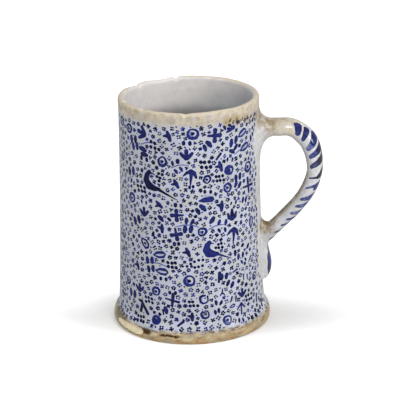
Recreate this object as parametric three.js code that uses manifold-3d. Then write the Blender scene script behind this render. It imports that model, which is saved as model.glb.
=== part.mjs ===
// A tin-glazed earthenware tankard: a thrown cylindrical body on a spreading foot, and one pulled strap handle
// that is luted to its side with two pieces of soft clay. Millimetres, +Z up. The origin is the centre of the
// flat base, and the handle points along +X.

import * as THREE from "three";
import { mergeVertices } from "three/addons/utils/BufferGeometryUtils.js";
import Module from "manifold-3d";

const wasm = await Module();
wasm.setup();

// Body: height and outer radii
const bodyHeight = 170;
const rimRadius = 50.4; // of the wall at the rim
const waistDrop = 0.3; // how much the outside draws in just under the rim's roll
const rollHeight = 11; // from the top of the rim down to where the roll has died away
const lowerWallRadius = 52.8; // of the wall where it comes out of the foot
const footTop = 19; // height at which the foot's hollow curve runs into the wall
const footRadius = 57.2; // at the foot's fullest
const footFullHeight = 4.6; // height of the fullest point
const standingRadius = 53.6; // of the flat face that the tankard stands on
const footEdgeHeight = 1.1; // height over which the standing edge is rounded

// Body: wall and floor
const rimWall = 4.9;
const lowerWall = 6.6;
const floorThickness = 8.5;
const floorCorner = 13; // radius of the curve between floor and wall inside
const floorRise = 1.2; // the floor swells a little at the centre

// Handle: the height of each stretch of the strap, and how far its middle stands off the wall there
const rootDrop = 25.4; // rim to the middle of the upper joint
const neckStandOff = 12.5;
const crownStandOff = 21.5;
const crownDrop = 25.5; // rim to the middle of the strap where it is level
const shoulderStandOff = 29.4;
const shoulderDrop = 30.2;
const kneeStandOff = 35.8;
const kneeDrop = 38.6;
const gripStandOff = 38.6; // the handle's greatest reach
const gripHeight = 116;
const palmStandOff = 35.5;
const palmHeight = 102.6;
const armStandOff = 26.6;
const armHeight = 88.5;
const heelStandOff = 15.1;
const heelHeight = 76.3;
const seatStandOff = 4.3;
const seatHeight = 65.6; // where the strap meets the wall
const pinchStandOff = 0.2;
const pinchHeight = 57.5; // thumb mark below the joint
const tailHeight = 43; // fullest part of the free end below it
const tipHeight = 29.5; // where the free end dies into the wall

// Handle: the strap's section
const rootWidth = 18.6;
const rootDepth = 11.6;
const crownWidth = 20;
const crownDepth = 12.8;
const shoulderWidth = 19.4;
const shoulderDepth = 14.4;
const gripWidth = 18.4;
const gripDepth = 12.5;
const armWidth = 16.8;
const armDepth = 11;
const heelWidth = 16.4;
const heelDepth = 10.8;
const pinchWidth = 14.6;
const pinchDepth = 8.4;
const tailWidth = 15.6;
const tailDepth = 12.6;
const tipWidth = 13;
const tipDepth = 12;
const tipRounding = 15; // length over which the free end is rounded off
const innerFlatness = 0.8; // how deep the face towards the wall is, against a full half round
const outerFullness = 2.3; // 2 is a half round, and more is squarer at the shoulders of the section

// Luting clay
const collarLength = 12; // how far the upper clay runs out along the strap
const collarSpread = 17.5; // how far it spreads on the wall above and below the strap
const collarSide = 8; // how far it spreads on the wall beside the strap
const collarSag = 6.5; // how much lower than the strap it hangs on the wall
const collarHollow = 2; // 1 is a straight slope, and more is a hollow one that runs out along strap and wall
const collarEdge = 0.3; // its thickness where it ends on the strap
const webRadius = 4; // of the lower clay's hollow top, in the crook of strap and wall
const webWidth = 13.4;
const seatGap = 0.3; // kept between pieces that meet
const tipFlat = 0.15; // half the width left at the very tip of the free end

// Fineness of the facets
const bodyFacets = 72;
const curveFacets = 6;
const wallFacets = 10;
const strapSections = 70;
const strapFacets = 20;
const collarSections = 12;
const collarFacets = 32;

// The outside radius of the wall between the foot and the rim, which tapers quickly at first and then hardly.
function wallRadius(height) {
  const up = THREE.MathUtils.clamp((height - footTop) / (bodyHeight - footTop), 0, 1);
  const waistRadius = rimRadius - waistDrop;
  const roll = THREE.MathUtils.smoothstep(height, bodyHeight - rollHeight, bodyHeight);
  return waistRadius + (lowerWallRadius - waistRadius) * (1 - up) ** 2 + waistDrop * roll;
}

// The wall's thickness, which grows steadily from the rim down.
function wallThickness(height) {
  return THREE.MathUtils.lerp(lowerWall, rimWall, height / bodyHeight);
}

// The outside of the body from the edge of its flat base up to where the rim starts to turn over.
function outerOutline() {
  const foot = new THREE.Path();
  foot.moveTo(standingRadius, 0);
  foot.quadraticCurveTo(footRadius, footEdgeHeight, footRadius, footFullHeight);
  foot.bezierCurveTo(
    footRadius, (footFullHeight + footTop) / 2,
    lowerWallRadius, (footFullHeight + footTop) / 2,
    lowerWallRadius, footTop,
  );
  const points = foot.getPoints(curveFacets);
  const rimCentre = bodyHeight - rimWall / 2;
  for (let i = 1; i <= wallFacets; i += 1) {
    const height = THREE.MathUtils.lerp(footTop, rimCentre, i / wallFacets);
    points.push(new THREE.Vector2(wallRadius(height), height));
  }
  return points;
}

// The rounded rim, from the outside over the top to the inside.
function rimOutline() {
  const rim = new THREE.Path();
  const centreHeight = bodyHeight - rimWall / 2;
  rim.absarc(wallRadius(centreHeight) - rimWall / 2, centreHeight, rimWall / 2, 0, Math.PI, false);
  return rim.getPoints(curveFacets).slice(1);
}

// The inside, from below the rim down the wall and round to the middle of the floor.
function innerOutline() {
  const points = [];
  const cornerTop = floorThickness + floorCorner;
  const innerRadius = (height) => wallRadius(height) - wallThickness(height);
  for (let i = 1; i <= wallFacets; i += 1) {
    const height = THREE.MathUtils.lerp(bodyHeight - rimWall / 2, cornerTop, i / wallFacets);
    points.push(new THREE.Vector2(innerRadius(height), height));
  }
  const corner = new THREE.Path();
  const floorEdge = innerRadius(cornerTop) - floorCorner;
  corner.absarc(floorEdge, cornerTop, floorCorner, 0, -Math.PI / 2, true);
  corner.quadraticCurveTo(floorEdge / 2, floorThickness, 0, floorThickness + floorRise);
  points.push(...corner.getPoints(curveFacets).slice(1));
  return points;
}

// Turns a profile of (radius, height) points about the Z axis.
function revolve(points, facets = bodyFacets) {
  return new THREE.LatheGeometry(points, facets).rotateX(Math.PI / 2);
}

function bodyGeometry() {
  return revolve([new THREE.Vector2(0, 0), ...outerOutline(), ...rimOutline(), ...innerOutline()]);
}

// The space that the wall takes, filled in and grown by the seating gap, for cutting what is luted to it.
function wallEnvelope() {
  const grown = outerOutline().map((point) => new THREE.Vector2(point.x + seatGap, point.y));
  grown[0].y = -seatGap;
  const top = bodyHeight + seatGap;
  grown.push(new THREE.Vector2(grown.at(-1).x, top), new THREE.Vector2(0, top));
  return revolve([new THREE.Vector2(0, -seatGap), ...grown]);
}

// The strap's stations, from inside the wall at the upper joint, round the grip, to the tip of the free end.
function strapStations() {
  const fromRim = (drop) => bodyHeight - drop;
  const station = (standOff, height, width, depth) => ({
    centre: new THREE.Vector3(wallRadius(height) + standOff, 0, height),
    width,
    depth,
  });
  return [
    station(-wallThickness(fromRim(rootDrop)) / 2, fromRim(rootDrop), rootWidth, rootDepth),
    station(neckStandOff / 2, fromRim(rootDrop), (rootWidth + crownWidth) / 2, (rootDepth + crownDepth) / 2),
    station(neckStandOff, fromRim(crownDrop), crownWidth, crownDepth),
    station(crownStandOff, fromRim(crownDrop), crownWidth, crownDepth),
    station(shoulderStandOff, fromRim(shoulderDrop), shoulderWidth, shoulderDepth),
    station(kneeStandOff, fromRim(kneeDrop), shoulderWidth, shoulderDepth),
    station(gripStandOff, gripHeight, gripWidth, gripDepth),
    station(palmStandOff, palmHeight, (gripWidth + armWidth) / 2, (gripDepth + armDepth) / 2),
    station(armStandOff, armHeight, armWidth, armDepth),
    station(heelStandOff, heelHeight, heelWidth, heelDepth),
    station(seatStandOff, seatHeight, (heelWidth + pinchWidth) / 2, heelDepth),
    station(pinchStandOff, pinchHeight, pinchWidth, pinchDepth),
    station(0, tailHeight, tailWidth, tailDepth),
    station(0, tipHeight, tipWidth, tipDepth),
  ];
}

// A smooth curve of one number through the stations, read at the same place as the centre line.
function alongStations(stations, read) {
  const curve = new THREE.CatmullRomCurve3(
    stations.map((station, i) => new THREE.Vector3(i, read(station), 0)),
    false,
    "catmullrom",
  );
  return (t) => curve.getPoint(t).y;
}

// One closed section: domed on the outside, flatter towards the wall. Across is along Y, and depth along outward.
function sectionPoint(angle, width, depth) {
  const round = (value) => Math.sign(value) * Math.abs(value) ** (2 / outerFullness);
  const sine = Math.sin(angle);
  const reach = sine > 0 ? 1 : innerFlatness;
  return { across: (width / 2) * round(Math.cos(angle)), outward: (depth / 2) * reach * round(sine) };
}

// A closed loft through sections that all stand square to the plane of the handle.
function loft(sections, pointCount) {
  const positions = [];
  const index = [];
  const across = new THREE.Vector3(0, 1, 0);
  for (const { centre, outward, width, depth } of sections) {
    for (let j = 0; j < pointCount; j += 1) {
      const point = sectionPoint((2 * Math.PI * j) / pointCount, width, depth);
      const place = centre.clone().addScaledVector(across, point.across).addScaledVector(outward, point.outward);
      positions.push(...place.toArray());
    }
  }
  const last = (sections.length - 1) * pointCount;
  for (let start = 0; start < last; start += pointCount) {
    for (let j = 0; j < pointCount; j += 1) {
      const [a, b] = [start + j, start + ((j + 1) % pointCount)];
      index.push(a, b, a + pointCount, b, b + pointCount, a + pointCount);
    }
  }
  for (let j = 1; j < pointCount - 1; j += 1) {
    index.push(0, j + 1, j, last, last + j, last + j + 1);
  }
  const geometry = new THREE.BufferGeometry();
  geometry.setAttribute("position", new THREE.Float32BufferAttribute(positions, 3));
  geometry.setIndex(index);
  return geometry;
}

// The strap, grown all round by a clearance, with its free end rounded off.
function strapGeometry(clearance = 0) {
  const stations = strapStations();
  const centreLine = new THREE.CatmullRomCurve3(stations.map((station) => station.centre), false, "catmullrom");
  const widthAt = alongStations(stations, (station) => station.width);
  const depthAt = alongStations(stations, (station) => station.depth);
  const sections = [];
  for (let i = 0; i <= strapSections; i += 1) {
    const t = i / strapSections;
    const centre = centreLine.getPoint(t);
    const left = Math.min((centre.z - tipHeight) / tipRounding, 1);
    const rounding = Math.sqrt(Math.max(1 - (1 - left) ** 2, 0));
    sections.push({
      centre,
      outward: centreLine.getTangent(t).cross(new THREE.Vector3(0, 1, 0)),
      width: widthAt(t) * rounding + 2 * Math.max(clearance, tipFlat),
      depth: depthAt(t) * rounding + 2 * Math.max(clearance, tipFlat),
    });
  }
  return loft(sections, strapFacets);
}

// The clay worked round the strap's root: a hollow-sided collar that thins out along the wall, and along the strap.
function collarGeometry() {
  const rootHeight = bodyHeight - rootDrop;
  const wall = wallRadius(rootHeight);
  const sections = [];
  for (let i = -1; i <= collarSections; i += 1) {
    const t = Math.max(i, 0) / collarSections;
    const spread = (1 - t) ** collarHollow;
    const standOff = i < 0 ? -wallThickness(rootHeight) / 2 : collarLength * t ** collarHollow;
    sections.push({
      centre: new THREE.Vector3(wall + standOff, 0, rootHeight - collarSag * spread),
      outward: new THREE.Vector3(0, 0, 1),
      width: rootWidth + 2 * (seatGap + collarEdge + collarSide * spread),
      depth: rootDepth + 2 * (seatGap + collarEdge + collarSpread * spread),
    });
  }
  const geometry = loft(sections, collarFacets);
  wrapRound(geometry, wall, collarLength);
  return geometry;
}

// Bends what was made on a flat wall round a wall of this radius. The bend dies away over a length outwards.
function wrapRound(geometry, radius, length) {
  const { position } = geometry.attributes;
  for (let i = 0; i < position.count; i += 1) {
    const away = THREE.MathUtils.clamp((position.getX(i) - radius) / length, 0, 1);
    const fallBack = radius - Math.sqrt(radius ** 2 - position.getY(i) ** 2);
    position.setX(i, position.getX(i) - fallBack * (1 - away));
  }
}

// The clay pressed into the crook above the lower joint. Its hollow top is an arc that touches wall and strap.
function webGeometry() {
  const wall = wallRadius(seatHeight);
  const seat = new THREE.Vector2(wall + seatStandOff, seatHeight);
  const heel = new THREE.Vector2(wallRadius(heelHeight) + heelStandOff, heelHeight);
  const rise = heel.clone().sub(seat).normalize();
  const slope = Math.atan2(rise.y, rise.x);
  const innerFace = seat.clone().add(new THREE.Vector2(-rise.y, rise.x).multiplyScalar((heelDepth / 2) * innerFlatness));
  const crook = new THREE.Vector2(wall, innerFace.y - (innerFace.x - wall) * Math.tan(slope));
  const halfAngle = (Math.PI / 2 - slope) / 2;
  const run = webRadius / Math.tan(halfAngle);
  const centre = new THREE.Vector2(wall + webRadius, crook.y + run);
  const outline = new THREE.Shape();
  outline.moveTo(wall - lowerWall / 2, crook.y);
  outline.lineTo(seat.x, seat.y);
  outline.lineTo(seat.x + rise.x * run, seat.y + rise.y * run);
  outline.absarc(centre.x, centre.y, webRadius, slope - Math.PI / 2, -Math.PI, true);
  outline.lineTo(wall - lowerWall / 2, centre.y);
  return new THREE.ExtrudeGeometry(outline, { depth: webWidth, bevelEnabled: false, curveSegments: curveFacets })
    .translate(0, 0, -webWidth / 2)
    .rotateX(Math.PI / 2);
}

// A closed geometry as a solid that can be joined and cut.
function solid(geometry) {
  const bare = geometry.index ? geometry.toNonIndexed() : geometry.clone();
  bare.deleteAttribute("normal");
  bare.deleteAttribute("uv");
  const merged = mergeVertices(bare, 1e-4);
  return new wasm.Manifold(
    new wasm.Mesh({
      numProp: 3,
      vertProperties: new Float32Array(merged.attributes.position.array),
      triVerts: new Uint32Array(merged.index.array),
    }),
  );
}

// A cut solid back as a geometry.
function geometryOf(cut) {
  const mesh = cut.getMesh();
  const geometry = new THREE.BufferGeometry();
  geometry.setAttribute("position", new THREE.BufferAttribute(new Float32Array(mesh.vertProperties), 3));
  geometry.setIndex(new THREE.BufferAttribute(new Uint32Array(mesh.triVerts), 1));
  geometry.computeVertexNormals();
  return geometry;
}

function piece(name, geometry, material) {
  const mesh = new THREE.Mesh(geometry, material);
  mesh.name = name;
  return mesh;
}

const tinGlaze = new THREE.MeshStandardMaterial({ color: 0xd6d8e6, roughness: 0.22, metalness: 0 });
const strapGlaze = new THREE.MeshStandardMaterial({ color: 0xdcd9d6, roughness: 0.25, metalness: 0 });
const stainedGlaze = new THREE.MeshStandardMaterial({ color: 0xcbbfa6, roughness: 0.4, metalness: 0 });

const wallSpace = solid(wallEnvelope());
const strapSpace = solid(strapGeometry(seatGap));
const strap = solid(strapGeometry()).subtract(wallSpace);
const collar = solid(collarGeometry()).subtract(wallSpace).subtract(strapSpace);
const web = solid(webGeometry()).subtract(wallSpace).subtract(strapSpace);

const tankard = new THREE.Group();
tankard.name = "tankard";
tankard.add(
  piece("body", bodyGeometry(), tinGlaze),
  piece("handle", geometryOf(strap), strapGlaze),
  piece("upper_luting", geometryOf(collar), strapGlaze),
  piece("lower_luting", geometryOf(web), stainedGlaze),
);

export default tankard;
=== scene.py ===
"""A painted, tin-glazed earthenware tankard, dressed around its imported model.

Everything is in metres, +Z up, with the handle along +X and the viewer on the -Y side. The body is thrown, so
it is spun from one profile and then loosened by hand: a wavering rim, chips and turning marks. The handle is
a pulled strap, and two lutings of soft clay join it to the wall. The painting is a list of brush strokes on
the unrolled wall. Each face keeps the strokes that cross it, and the glaze draws them sharply from those
numbers.
"""

import math
import random
from collections import namedtuple
from functools import reduce
from itertools import product

import bmesh
import bpy
import numpy as np
from bpy.props import FloatProperty, FloatVectorProperty, IntProperty, PointerProperty
from mathutils import Color, Matrix, Vector, noise


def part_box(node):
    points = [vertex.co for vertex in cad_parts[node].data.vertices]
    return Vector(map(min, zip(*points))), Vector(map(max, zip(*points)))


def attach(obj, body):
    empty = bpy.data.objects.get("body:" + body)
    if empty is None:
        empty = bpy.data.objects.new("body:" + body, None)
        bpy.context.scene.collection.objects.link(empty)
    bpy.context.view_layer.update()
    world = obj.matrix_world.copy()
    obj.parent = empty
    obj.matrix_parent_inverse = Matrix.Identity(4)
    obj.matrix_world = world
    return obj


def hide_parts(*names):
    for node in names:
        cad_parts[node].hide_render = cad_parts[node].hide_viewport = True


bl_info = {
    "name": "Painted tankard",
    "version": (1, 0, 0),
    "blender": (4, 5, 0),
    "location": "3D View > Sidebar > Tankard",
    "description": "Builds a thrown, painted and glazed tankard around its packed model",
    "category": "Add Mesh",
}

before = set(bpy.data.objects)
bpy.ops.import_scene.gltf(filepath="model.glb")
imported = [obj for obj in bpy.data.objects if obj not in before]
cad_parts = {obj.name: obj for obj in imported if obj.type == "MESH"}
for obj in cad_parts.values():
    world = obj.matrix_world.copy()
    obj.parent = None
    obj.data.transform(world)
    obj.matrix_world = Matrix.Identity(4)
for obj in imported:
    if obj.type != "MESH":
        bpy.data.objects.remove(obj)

MM = 0.001
TURN = 2 * math.pi
PHOTO_SIDE = 400  # pixels along each side of the photograph
SENSOR_WIDTH = 36  # millimetres across the camera's sensor
MIDDLE_HEIGHT = 85 * MM
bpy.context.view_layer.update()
BODY_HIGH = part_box("body")[1]


def colour_property(name, description, default):
    """A colour as it is seen, which the materials turn into scene light."""
    return FloatVectorProperty(name=name, description=description, default=default, min=0, max=1,
                               subtype="COLOR_GAMMA")


def length_property(name, description, default):
    return FloatProperty(name=name, description=description, default=default, unit="LENGTH", precision=5)


def angle_property(name, description, degrees):
    return FloatProperty(name=name, description=description, default=math.radians(degrees), subtype="ANGLE")


class BodySizes(bpy.types.PropertyGroup):
    height: length_property("Height", "From the table to the top of the rim", BODY_HIGH.z)
    rim_radius: length_property("Rim radius", "Outside of the wall at the rim", 50.4 * MM)
    waist_drop: length_property("Waist drop", "How much the wall draws in under the rim", 0.3 * MM)
    roll_height: length_property("Roll height", "From the top down to where the rim's roll ends", 11 * MM)
    lower_wall_radius: length_property("Lower wall radius", "Outside of the wall above the foot", 52.8 * MM)
    foot_top: length_property("Foot top", "Height where the foot runs into the wall", 19 * MM)
    foot_radius: length_property("Foot radius", "The foot at its fullest", BODY_HIGH.x)
    foot_full_height: length_property("Foot full height", "Height of the fullest point", 4.6 * MM)
    standing_radius: length_property("Standing radius", "Flat underside", 53.6 * MM)
    foot_edge_height: length_property("Foot edge height", "Height of the rounded standing edge", 1.1 * MM)
    rim_wall: length_property("Rim wall", "Thickness at the rim", 4.9 * MM)
    lower_wall: length_property("Lower wall", "Thickness at the base", 6.6 * MM)
    floor_thickness: length_property("Floor thickness", "Under the inside corner", 8.5 * MM)
    floor_corner: length_property("Floor corner", "Radius between floor and wall inside", 13 * MM)
    floor_rise: length_property("Floor rise", "Swelling of the floor at its centre", 1.2 * MM)
    columns: IntProperty(name="Columns", description="Faces round the body", default=300, min=24)
    row: length_property("Row", "Height of a row of faces on the painted wall", 1.05 * MM)
    lean: length_property("Out of round", "How far the thrown wall is from a true circle", 0.35 * MM)
    rim_waver: length_property("Rim waver", "How far the rim's top dips", 0.9 * MM)


class StrapSizes(bpy.types.PropertyGroup):
    inner_flatness: FloatProperty(name="Inner flatness", default=0.8, min=0.1, max=1,
                                  description="Depth of the face towards the wall against a full half round")
    fullness: FloatProperty(name="Fullness", default=2.3, min=2, max=6,
                            description="2 is a half round section, and more is squarer")
    tip_height: length_property("Tip height", "Where the free end dies into the wall", 29.6 * MM)
    tip_rounding: length_property("Tip rounding", "Length over which the free end is rounded", 15 * MM)
    crease_fill: length_property("Crease fill", "Clay smoothed into the crease with the wall", 2.2 * MM)
    lumps: length_property("Lumps", "Unevenness left by the fingers", 0.28 * MM)
    collar_length: length_property("Collar length", "How far the upper luting runs along the strap", 13 * MM)
    collar_spread: length_property("Collar spread", "How far it spreads up and down the wall", 17.5 * MM)
    collar_side: length_property("Collar side", "How far it spreads sideways", 10 * MM)
    collar_sag: length_property("Collar sag", "How far it hangs below the strap", 6.5 * MM)
    web_radius: length_property("Web radius", "Hollow top of the lower luting", 4.4 * MM)
    web_width: length_property("Web width", "Lower luting from side to side", 15.2 * MM)


class PaintingSizes(bpy.types.PropertyGroup):
    flower_gap: length_property("Flower gap", "Least distance between two dot flowers", 4.0 * MM)
    flower_radius: length_property("Flower radius", "Middle of a dot flower to that of its dots", 1.12 * MM)
    dot_radius: length_property("Dot radius", "Half the width of one dot of a flower", 0.66 * MM)
    pool: length_property("Pooling", "How far in from a stroke's edge the blue gathers", 1.0 * MM)
    press: length_property("Press", "How much a motif's strokes spread past their drawn width", 0.15 * MM)
    bare_angle: angle_property("Bare angle", "Unpainted wall to each side of the handle's middle", 18.5)
    top_line: length_property("Top line", "Height where the worn rim begins", 161.5 * MM)
    foot_line: length_property("Foot line", "Height where the bare foot begins", 9.6 * MM)
    softness: length_property("Softness", "How far the cobalt bleeds at a stroke's edge", 0.16 * MM)
    waver: length_property("Waver", "How much a stroke's edge wanders", 0.4 * MM)
    seed: IntProperty(name="Seed", description="Choice of the scattered motifs", default=17)


class GlazeColours(bpy.types.PropertyGroup):
    ground: colour_property("Ground", "Bluish white tin glaze", (0.80, 0.815, 0.905))
    # Also a paler olive on the foot's far left, partly its own tone and partly painted light.
    ground_warm: colour_property("Warm ground", "Yellowish mottling of the glaze", (0.785, 0.795, 0.70))
    ground_shade: colour_property("Ground shade", "Its thinner, greyer patches", (0.715, 0.725, 0.775))
    strap: colour_property("Strap glaze", "Warmer glaze on the handle and beside it", (0.895, 0.89, 0.92))
    inside: colour_property("Inside", "Greyish lilac glaze inside", (0.935, 0.915, 0.905))
    # Painted shade: the inside darkens into this colour downwards and towards the handle. It also tints the
    # inside's mottling.
    inside_shade: colour_property("Inside shade", "Greyer glaze low down, by the handle", (0.69, 0.71, 0.735))
    pale_cobalt: colour_property("Pale cobalt", "A thin wash of the blue", (0.43, 0.49, 0.73))
    cobalt: colour_property("Cobalt", "The blue of a loaded brush", (0.135, 0.175, 0.475))
    deep_cobalt: colour_property("Deep cobalt", "Where the blue has pooled", (0.01, 0.03, 0.20))
    # Also the painted shade in a ring below the rim inside.
    burnt: colour_property("Burnt cobalt", "Where the blue has turned brown-black", (0.15, 0.14, 0.18))
    rust: colour_property("Rust", "Brown of the crack and of dirt in the glaze", (0.43, 0.35, 0.21))
    gold: colour_property("Gold", "Rusty stain under the rim beside the handle", (0.70, 0.61, 0.40))
    worn: colour_property("Worn rim", "Buff glaze of the worn rim", (0.865, 0.815, 0.72))
    worn_pale: colour_property("Pale rim", "Pale edge of the rim", (0.935, 0.90, 0.83))
    # Also painted shade along the strap's inner edge and towards the right of the foot.
    stain: colour_property("Stain", "Yellow-brown stain", (0.61, 0.53, 0.39))
    clay: colour_property("Clay", "Bare ochre clay of the foot", (0.76, 0.64, 0.46))
    clay_warm: colour_property("Warm clay", "Orange, where the clay was fired harder", (0.79, 0.63, 0.43))
    clay_grey: colour_property("Grey clay", "Its thin greyish skin of glaze", (0.74, 0.70, 0.60))
    clay_pale: colour_property("Pale clay", "Fresh clay in chips", (0.99, 0.94, 0.80))
    # Also painted shade along the strap's inner edge and on the foot's far left.
    clay_dark: colour_property("Dark clay", "Dirt and scorch on the foot", (0.30, 0.21, 0.12))


class StageSettings(bpy.types.PropertyGroup):
    camera_distance: length_property("Camera distance", "On the floor plan, from the body's axis", 1.4)
    camera_height: length_property("Camera height", "Above the floor", 576 * MM)
    camera_turn: angle_property("Camera turn", "Round the body from straight in front", 3)
    camera_swing: angle_property("Camera swing", "How far the camera looks to the right of the axis", 0.29)
    camera_pitch: angle_property("Camera pitch", "How far the camera looks down", 19.15)
    camera_roll: angle_property("Camera roll", "Tilt of the picture", -0.89)
    lens: FloatProperty(name="Lens", description="Focal length in millimetres", default=185.1)
    floor: colour_property("Floor", "Pale floor", (0.87, 0.87, 0.87))
    floor_glow: FloatProperty(name="Floor glow", default=0.17,
                              description="Light that only the camera sees on the floor beside the foot")
    backdrop_glow: FloatProperty(name="Backdrop glow", default=0.8,
                                 description="The same everywhere else, to keep the floor white")


def linear(colour):
    """A colour as it is seen, as scene light with full opacity."""
    return (*Color(colour).from_srgb_to_scene_linear(), 1)


# The body's shape

def wall_radius(body, height):
    """Outside radius above the foot: quick taper at first, then hardly any, and a slight roll at the rim."""
    up = np.clip((height - body.foot_top) / (body.height - body.foot_top), 0, 1)
    roll = np.clip((height - body.height + body.roll_height) / body.roll_height, 0, 1)
    waist = body.rim_radius - body.waist_drop
    rolled_out = body.waist_drop * roll**2 * (3 - 2 * roll)
    return waist + (body.lower_wall_radius - waist) * (1 - up) ** 2 + rolled_out


def wall_thickness(body, height):
    return body.lower_wall + (body.rim_wall - body.lower_wall) * height / body.height


def bezier(points, steps):
    """Points along a curve with any number of controls, without its first one."""
    t = np.linspace(0, 1, steps + 1)[1:, None]
    points = [np.array(point, float)[None] for point in points]
    while len(points) > 1:
        points = [a * (1 - t) + b * t for a, b in zip(points, points[1:])]
    return points[0]


def arc(centre, radius, start, end, steps):
    """Points along a round stretch, without its first one."""
    angles = np.linspace(start, end, steps + 1)[1:]
    return np.stack([centre[0] + radius * np.cos(angles), centre[1] + radius * np.sin(angles)], 1)


def outer_outline(body):
    """Radius and height from the edge of the underside to just under the rim."""
    foot_middle = (body.foot_full_height + body.foot_top) / 2
    edge = bezier([(body.standing_radius, 0), (body.foot_radius, body.foot_edge_height),
                   (body.foot_radius, body.foot_full_height)], steps=6)
    foot = bezier([(body.foot_radius, body.foot_full_height), (body.foot_radius, foot_middle),
                   (body.lower_wall_radius, foot_middle), (body.lower_wall_radius, body.foot_top)],
                  steps=16)
    top = body.height - body.rim_wall / 2
    heights = np.linspace(body.foot_top, top, round((top - body.foot_top) / body.row) + 1)[1:]
    wall = np.stack([wall_radius(body, heights), heights], 1)
    return np.concatenate([[(body.standing_radius, 0)], edge, foot, wall])


def inner_outline(body):
    """Radius and height from just under the rim, down the inside and to the middle of the floor."""
    corner_top = body.floor_thickness + body.floor_corner
    heights = np.linspace(body.height - body.rim_wall / 2, corner_top, 56)[1:]
    wall = np.stack([wall_radius(body, heights) - wall_thickness(body, heights), heights], 1)
    edge = wall[-1, 0] - body.floor_corner
    corner = arc((edge, corner_top), body.floor_corner, 0, -math.pi / 2, steps=10)
    floor = bezier([(edge, body.floor_thickness), (edge / 2, body.floor_thickness),
                    (0, body.floor_thickness + body.floor_rise)], steps=8)
    return np.concatenate([wall, corner, floor])


def body_profile(body):
    """Radius and height all along the profile, from the middle of the underside to that of the floor."""
    across = np.linspace(0, body.standing_radius, 8)[:-1]
    underside = np.stack([across, np.zeros(len(across))], 1)
    outer = outer_outline(body)
    rim_centre = (outer[-1, 0] - body.rim_wall / 2, body.height - body.rim_wall / 2)
    rim = arc(rim_centre, body.rim_wall / 2, 0, math.pi, steps=12)
    return np.concatenate([underside, outer, rim, inner_outline(body)])


# Where things are on the body

Nick = namedtuple("Nick", "column row depth width")
# Chips in the rim: where they show in the photograph, and their depth and half width in millimetres
NICKS = [
    Nick(137, 84, 1.6, 9), Nick(163, 79, 1.4, 9), Nick(178, 78, 1.6, 2.2), Nick(141, 83, 1.3, 1.7),
    Nick(131, 100, 0.9, 2.4), Nick(145, 108, 0.8, 2.2), Nick(186, 113, 0.7, 2.6), Nick(253, 96, 0.6, 2.0),
]
RING_PITCH = 7.2 * MM  # from one throwing ring to the next
RING_DEPTH_OUTSIDE = 0.05 * MM
RING_DEPTH_INSIDE = 0.14 * MM
DIP_REACH = 13 * MM  # how far below the rim its waver is felt
# The flake off the foot: the side it faces, half its length and height, its depth, and its middle's height
FLAKE_TURN = math.radians(-141.5)
FLAKE_LENGTH, FLAKE_TALL, FLAKE_DEPTH, FLAKE_HEIGHT = 17 * MM, 3.0 * MM, 1.1 * MM, 6.2 * MM


def radius_at(outline, height):
    return float(np.interp(height, outline[:, 1], outline[:, 0]))


def camera_matrix(stage):
    """Where the photograph was taken from, in the tankard's own frame."""
    place = Vector((0, -stage.camera_distance, stage.camera_height))
    place = Matrix.Rotation(stage.camera_turn, 4, "Z") @ place
    aim = (Matrix.Rotation(stage.camera_turn - stage.camera_swing, 4, "Z")
           @ Matrix.Rotation(math.pi / 2 - stage.camera_pitch, 4, "X")
           @ Matrix.Rotation(stage.camera_roll, 4, "Z"))
    return Matrix.Translation(place) @ aim


def camera_ray(stage, column, row):
    """The eye, and the direction in which it sees a pixel of the photograph."""
    view = camera_matrix(stage)
    scale = SENSOR_WIDTH / stage.lens / PHOTO_SIDE
    middle = PHOTO_SIDE / 2
    along = Vector(((column - middle) * scale, (middle - row) * scale, -1))
    return view.translation, (view.to_3x3() @ along).normalized()


def wall_point(stage, outline, column, row):
    """The point of the body's outside that a pixel of the photograph shows."""
    eye, along = camera_ray(stage, column, row)
    height = MIDDLE_HEIGHT
    for _ in range(8):  # each round comes nearer to the height
        radius = radius_at(outline, height)
        flat = along.x**2 + along.y**2
        half = eye.x * along.x + eye.y * along.y
        inside = max(half**2 - flat * (eye.x**2 + eye.y**2 - radius**2), 0)
        hit = eye + along * ((-half - math.sqrt(inside)) / flat)
        height = hit.z
    return hit


def wall_place(stage, body, outline, column, row):
    """That point's place on the unrolled wall: length round it from the handle, and height."""
    hit = wall_point(stage, outline, column, row)
    return turn_of(hit.x, hit.y) * body.rim_radius, hit.z


def turn_of(x, y):
    """The angle round the axis from the handle, between nothing and a full turn."""
    return np.mod(np.arctan2(y, x), TURN)


def rim_turn(stage, body, column, row):
    """The angle round the rim that a pixel of the photograph shows."""
    eye, along = camera_ray(stage, column, row)
    hit = eye + along * ((body.height - eye.z) / along.z)
    return float(turn_of(hit.x, hit.y))


def turned_by(angles, middle):
    """How far angles are from a middle one, the short way round."""
    return np.mod(angles - middle + math.pi, TURN) - math.pi


def smooth(value, low, high):
    t = np.clip((value - low) / (high - low), 0, 1)
    return t * t * (3 - 2 * t)


def lumpy(points, size, seed):
    """Smooth noise from -1 to 1 at each point, with lumps of about a size."""
    shift = Vector((seed * 7.1, seed * 3.7, seed * 1.9))
    return np.array([noise.noise(Vector(point) / size + shift) for point in points])


def thrown_push(around, z, outside, body):
    """How far outwards the hand has left each point from the turned shape, which is never past it."""
    off_round = 0.5 + 0.5 * lumpy(around * (1, 1, 0.8), 1.1, 1)
    rings = 0.5 + 0.5 * np.sin(z / RING_PITCH * TURN + 2.2 * lumpy(around, 0.6, 2))
    return -body.lean * off_round - np.where(outside, RING_DEPTH_OUTSIDE, RING_DEPTH_INSIDE) * rings


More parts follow.
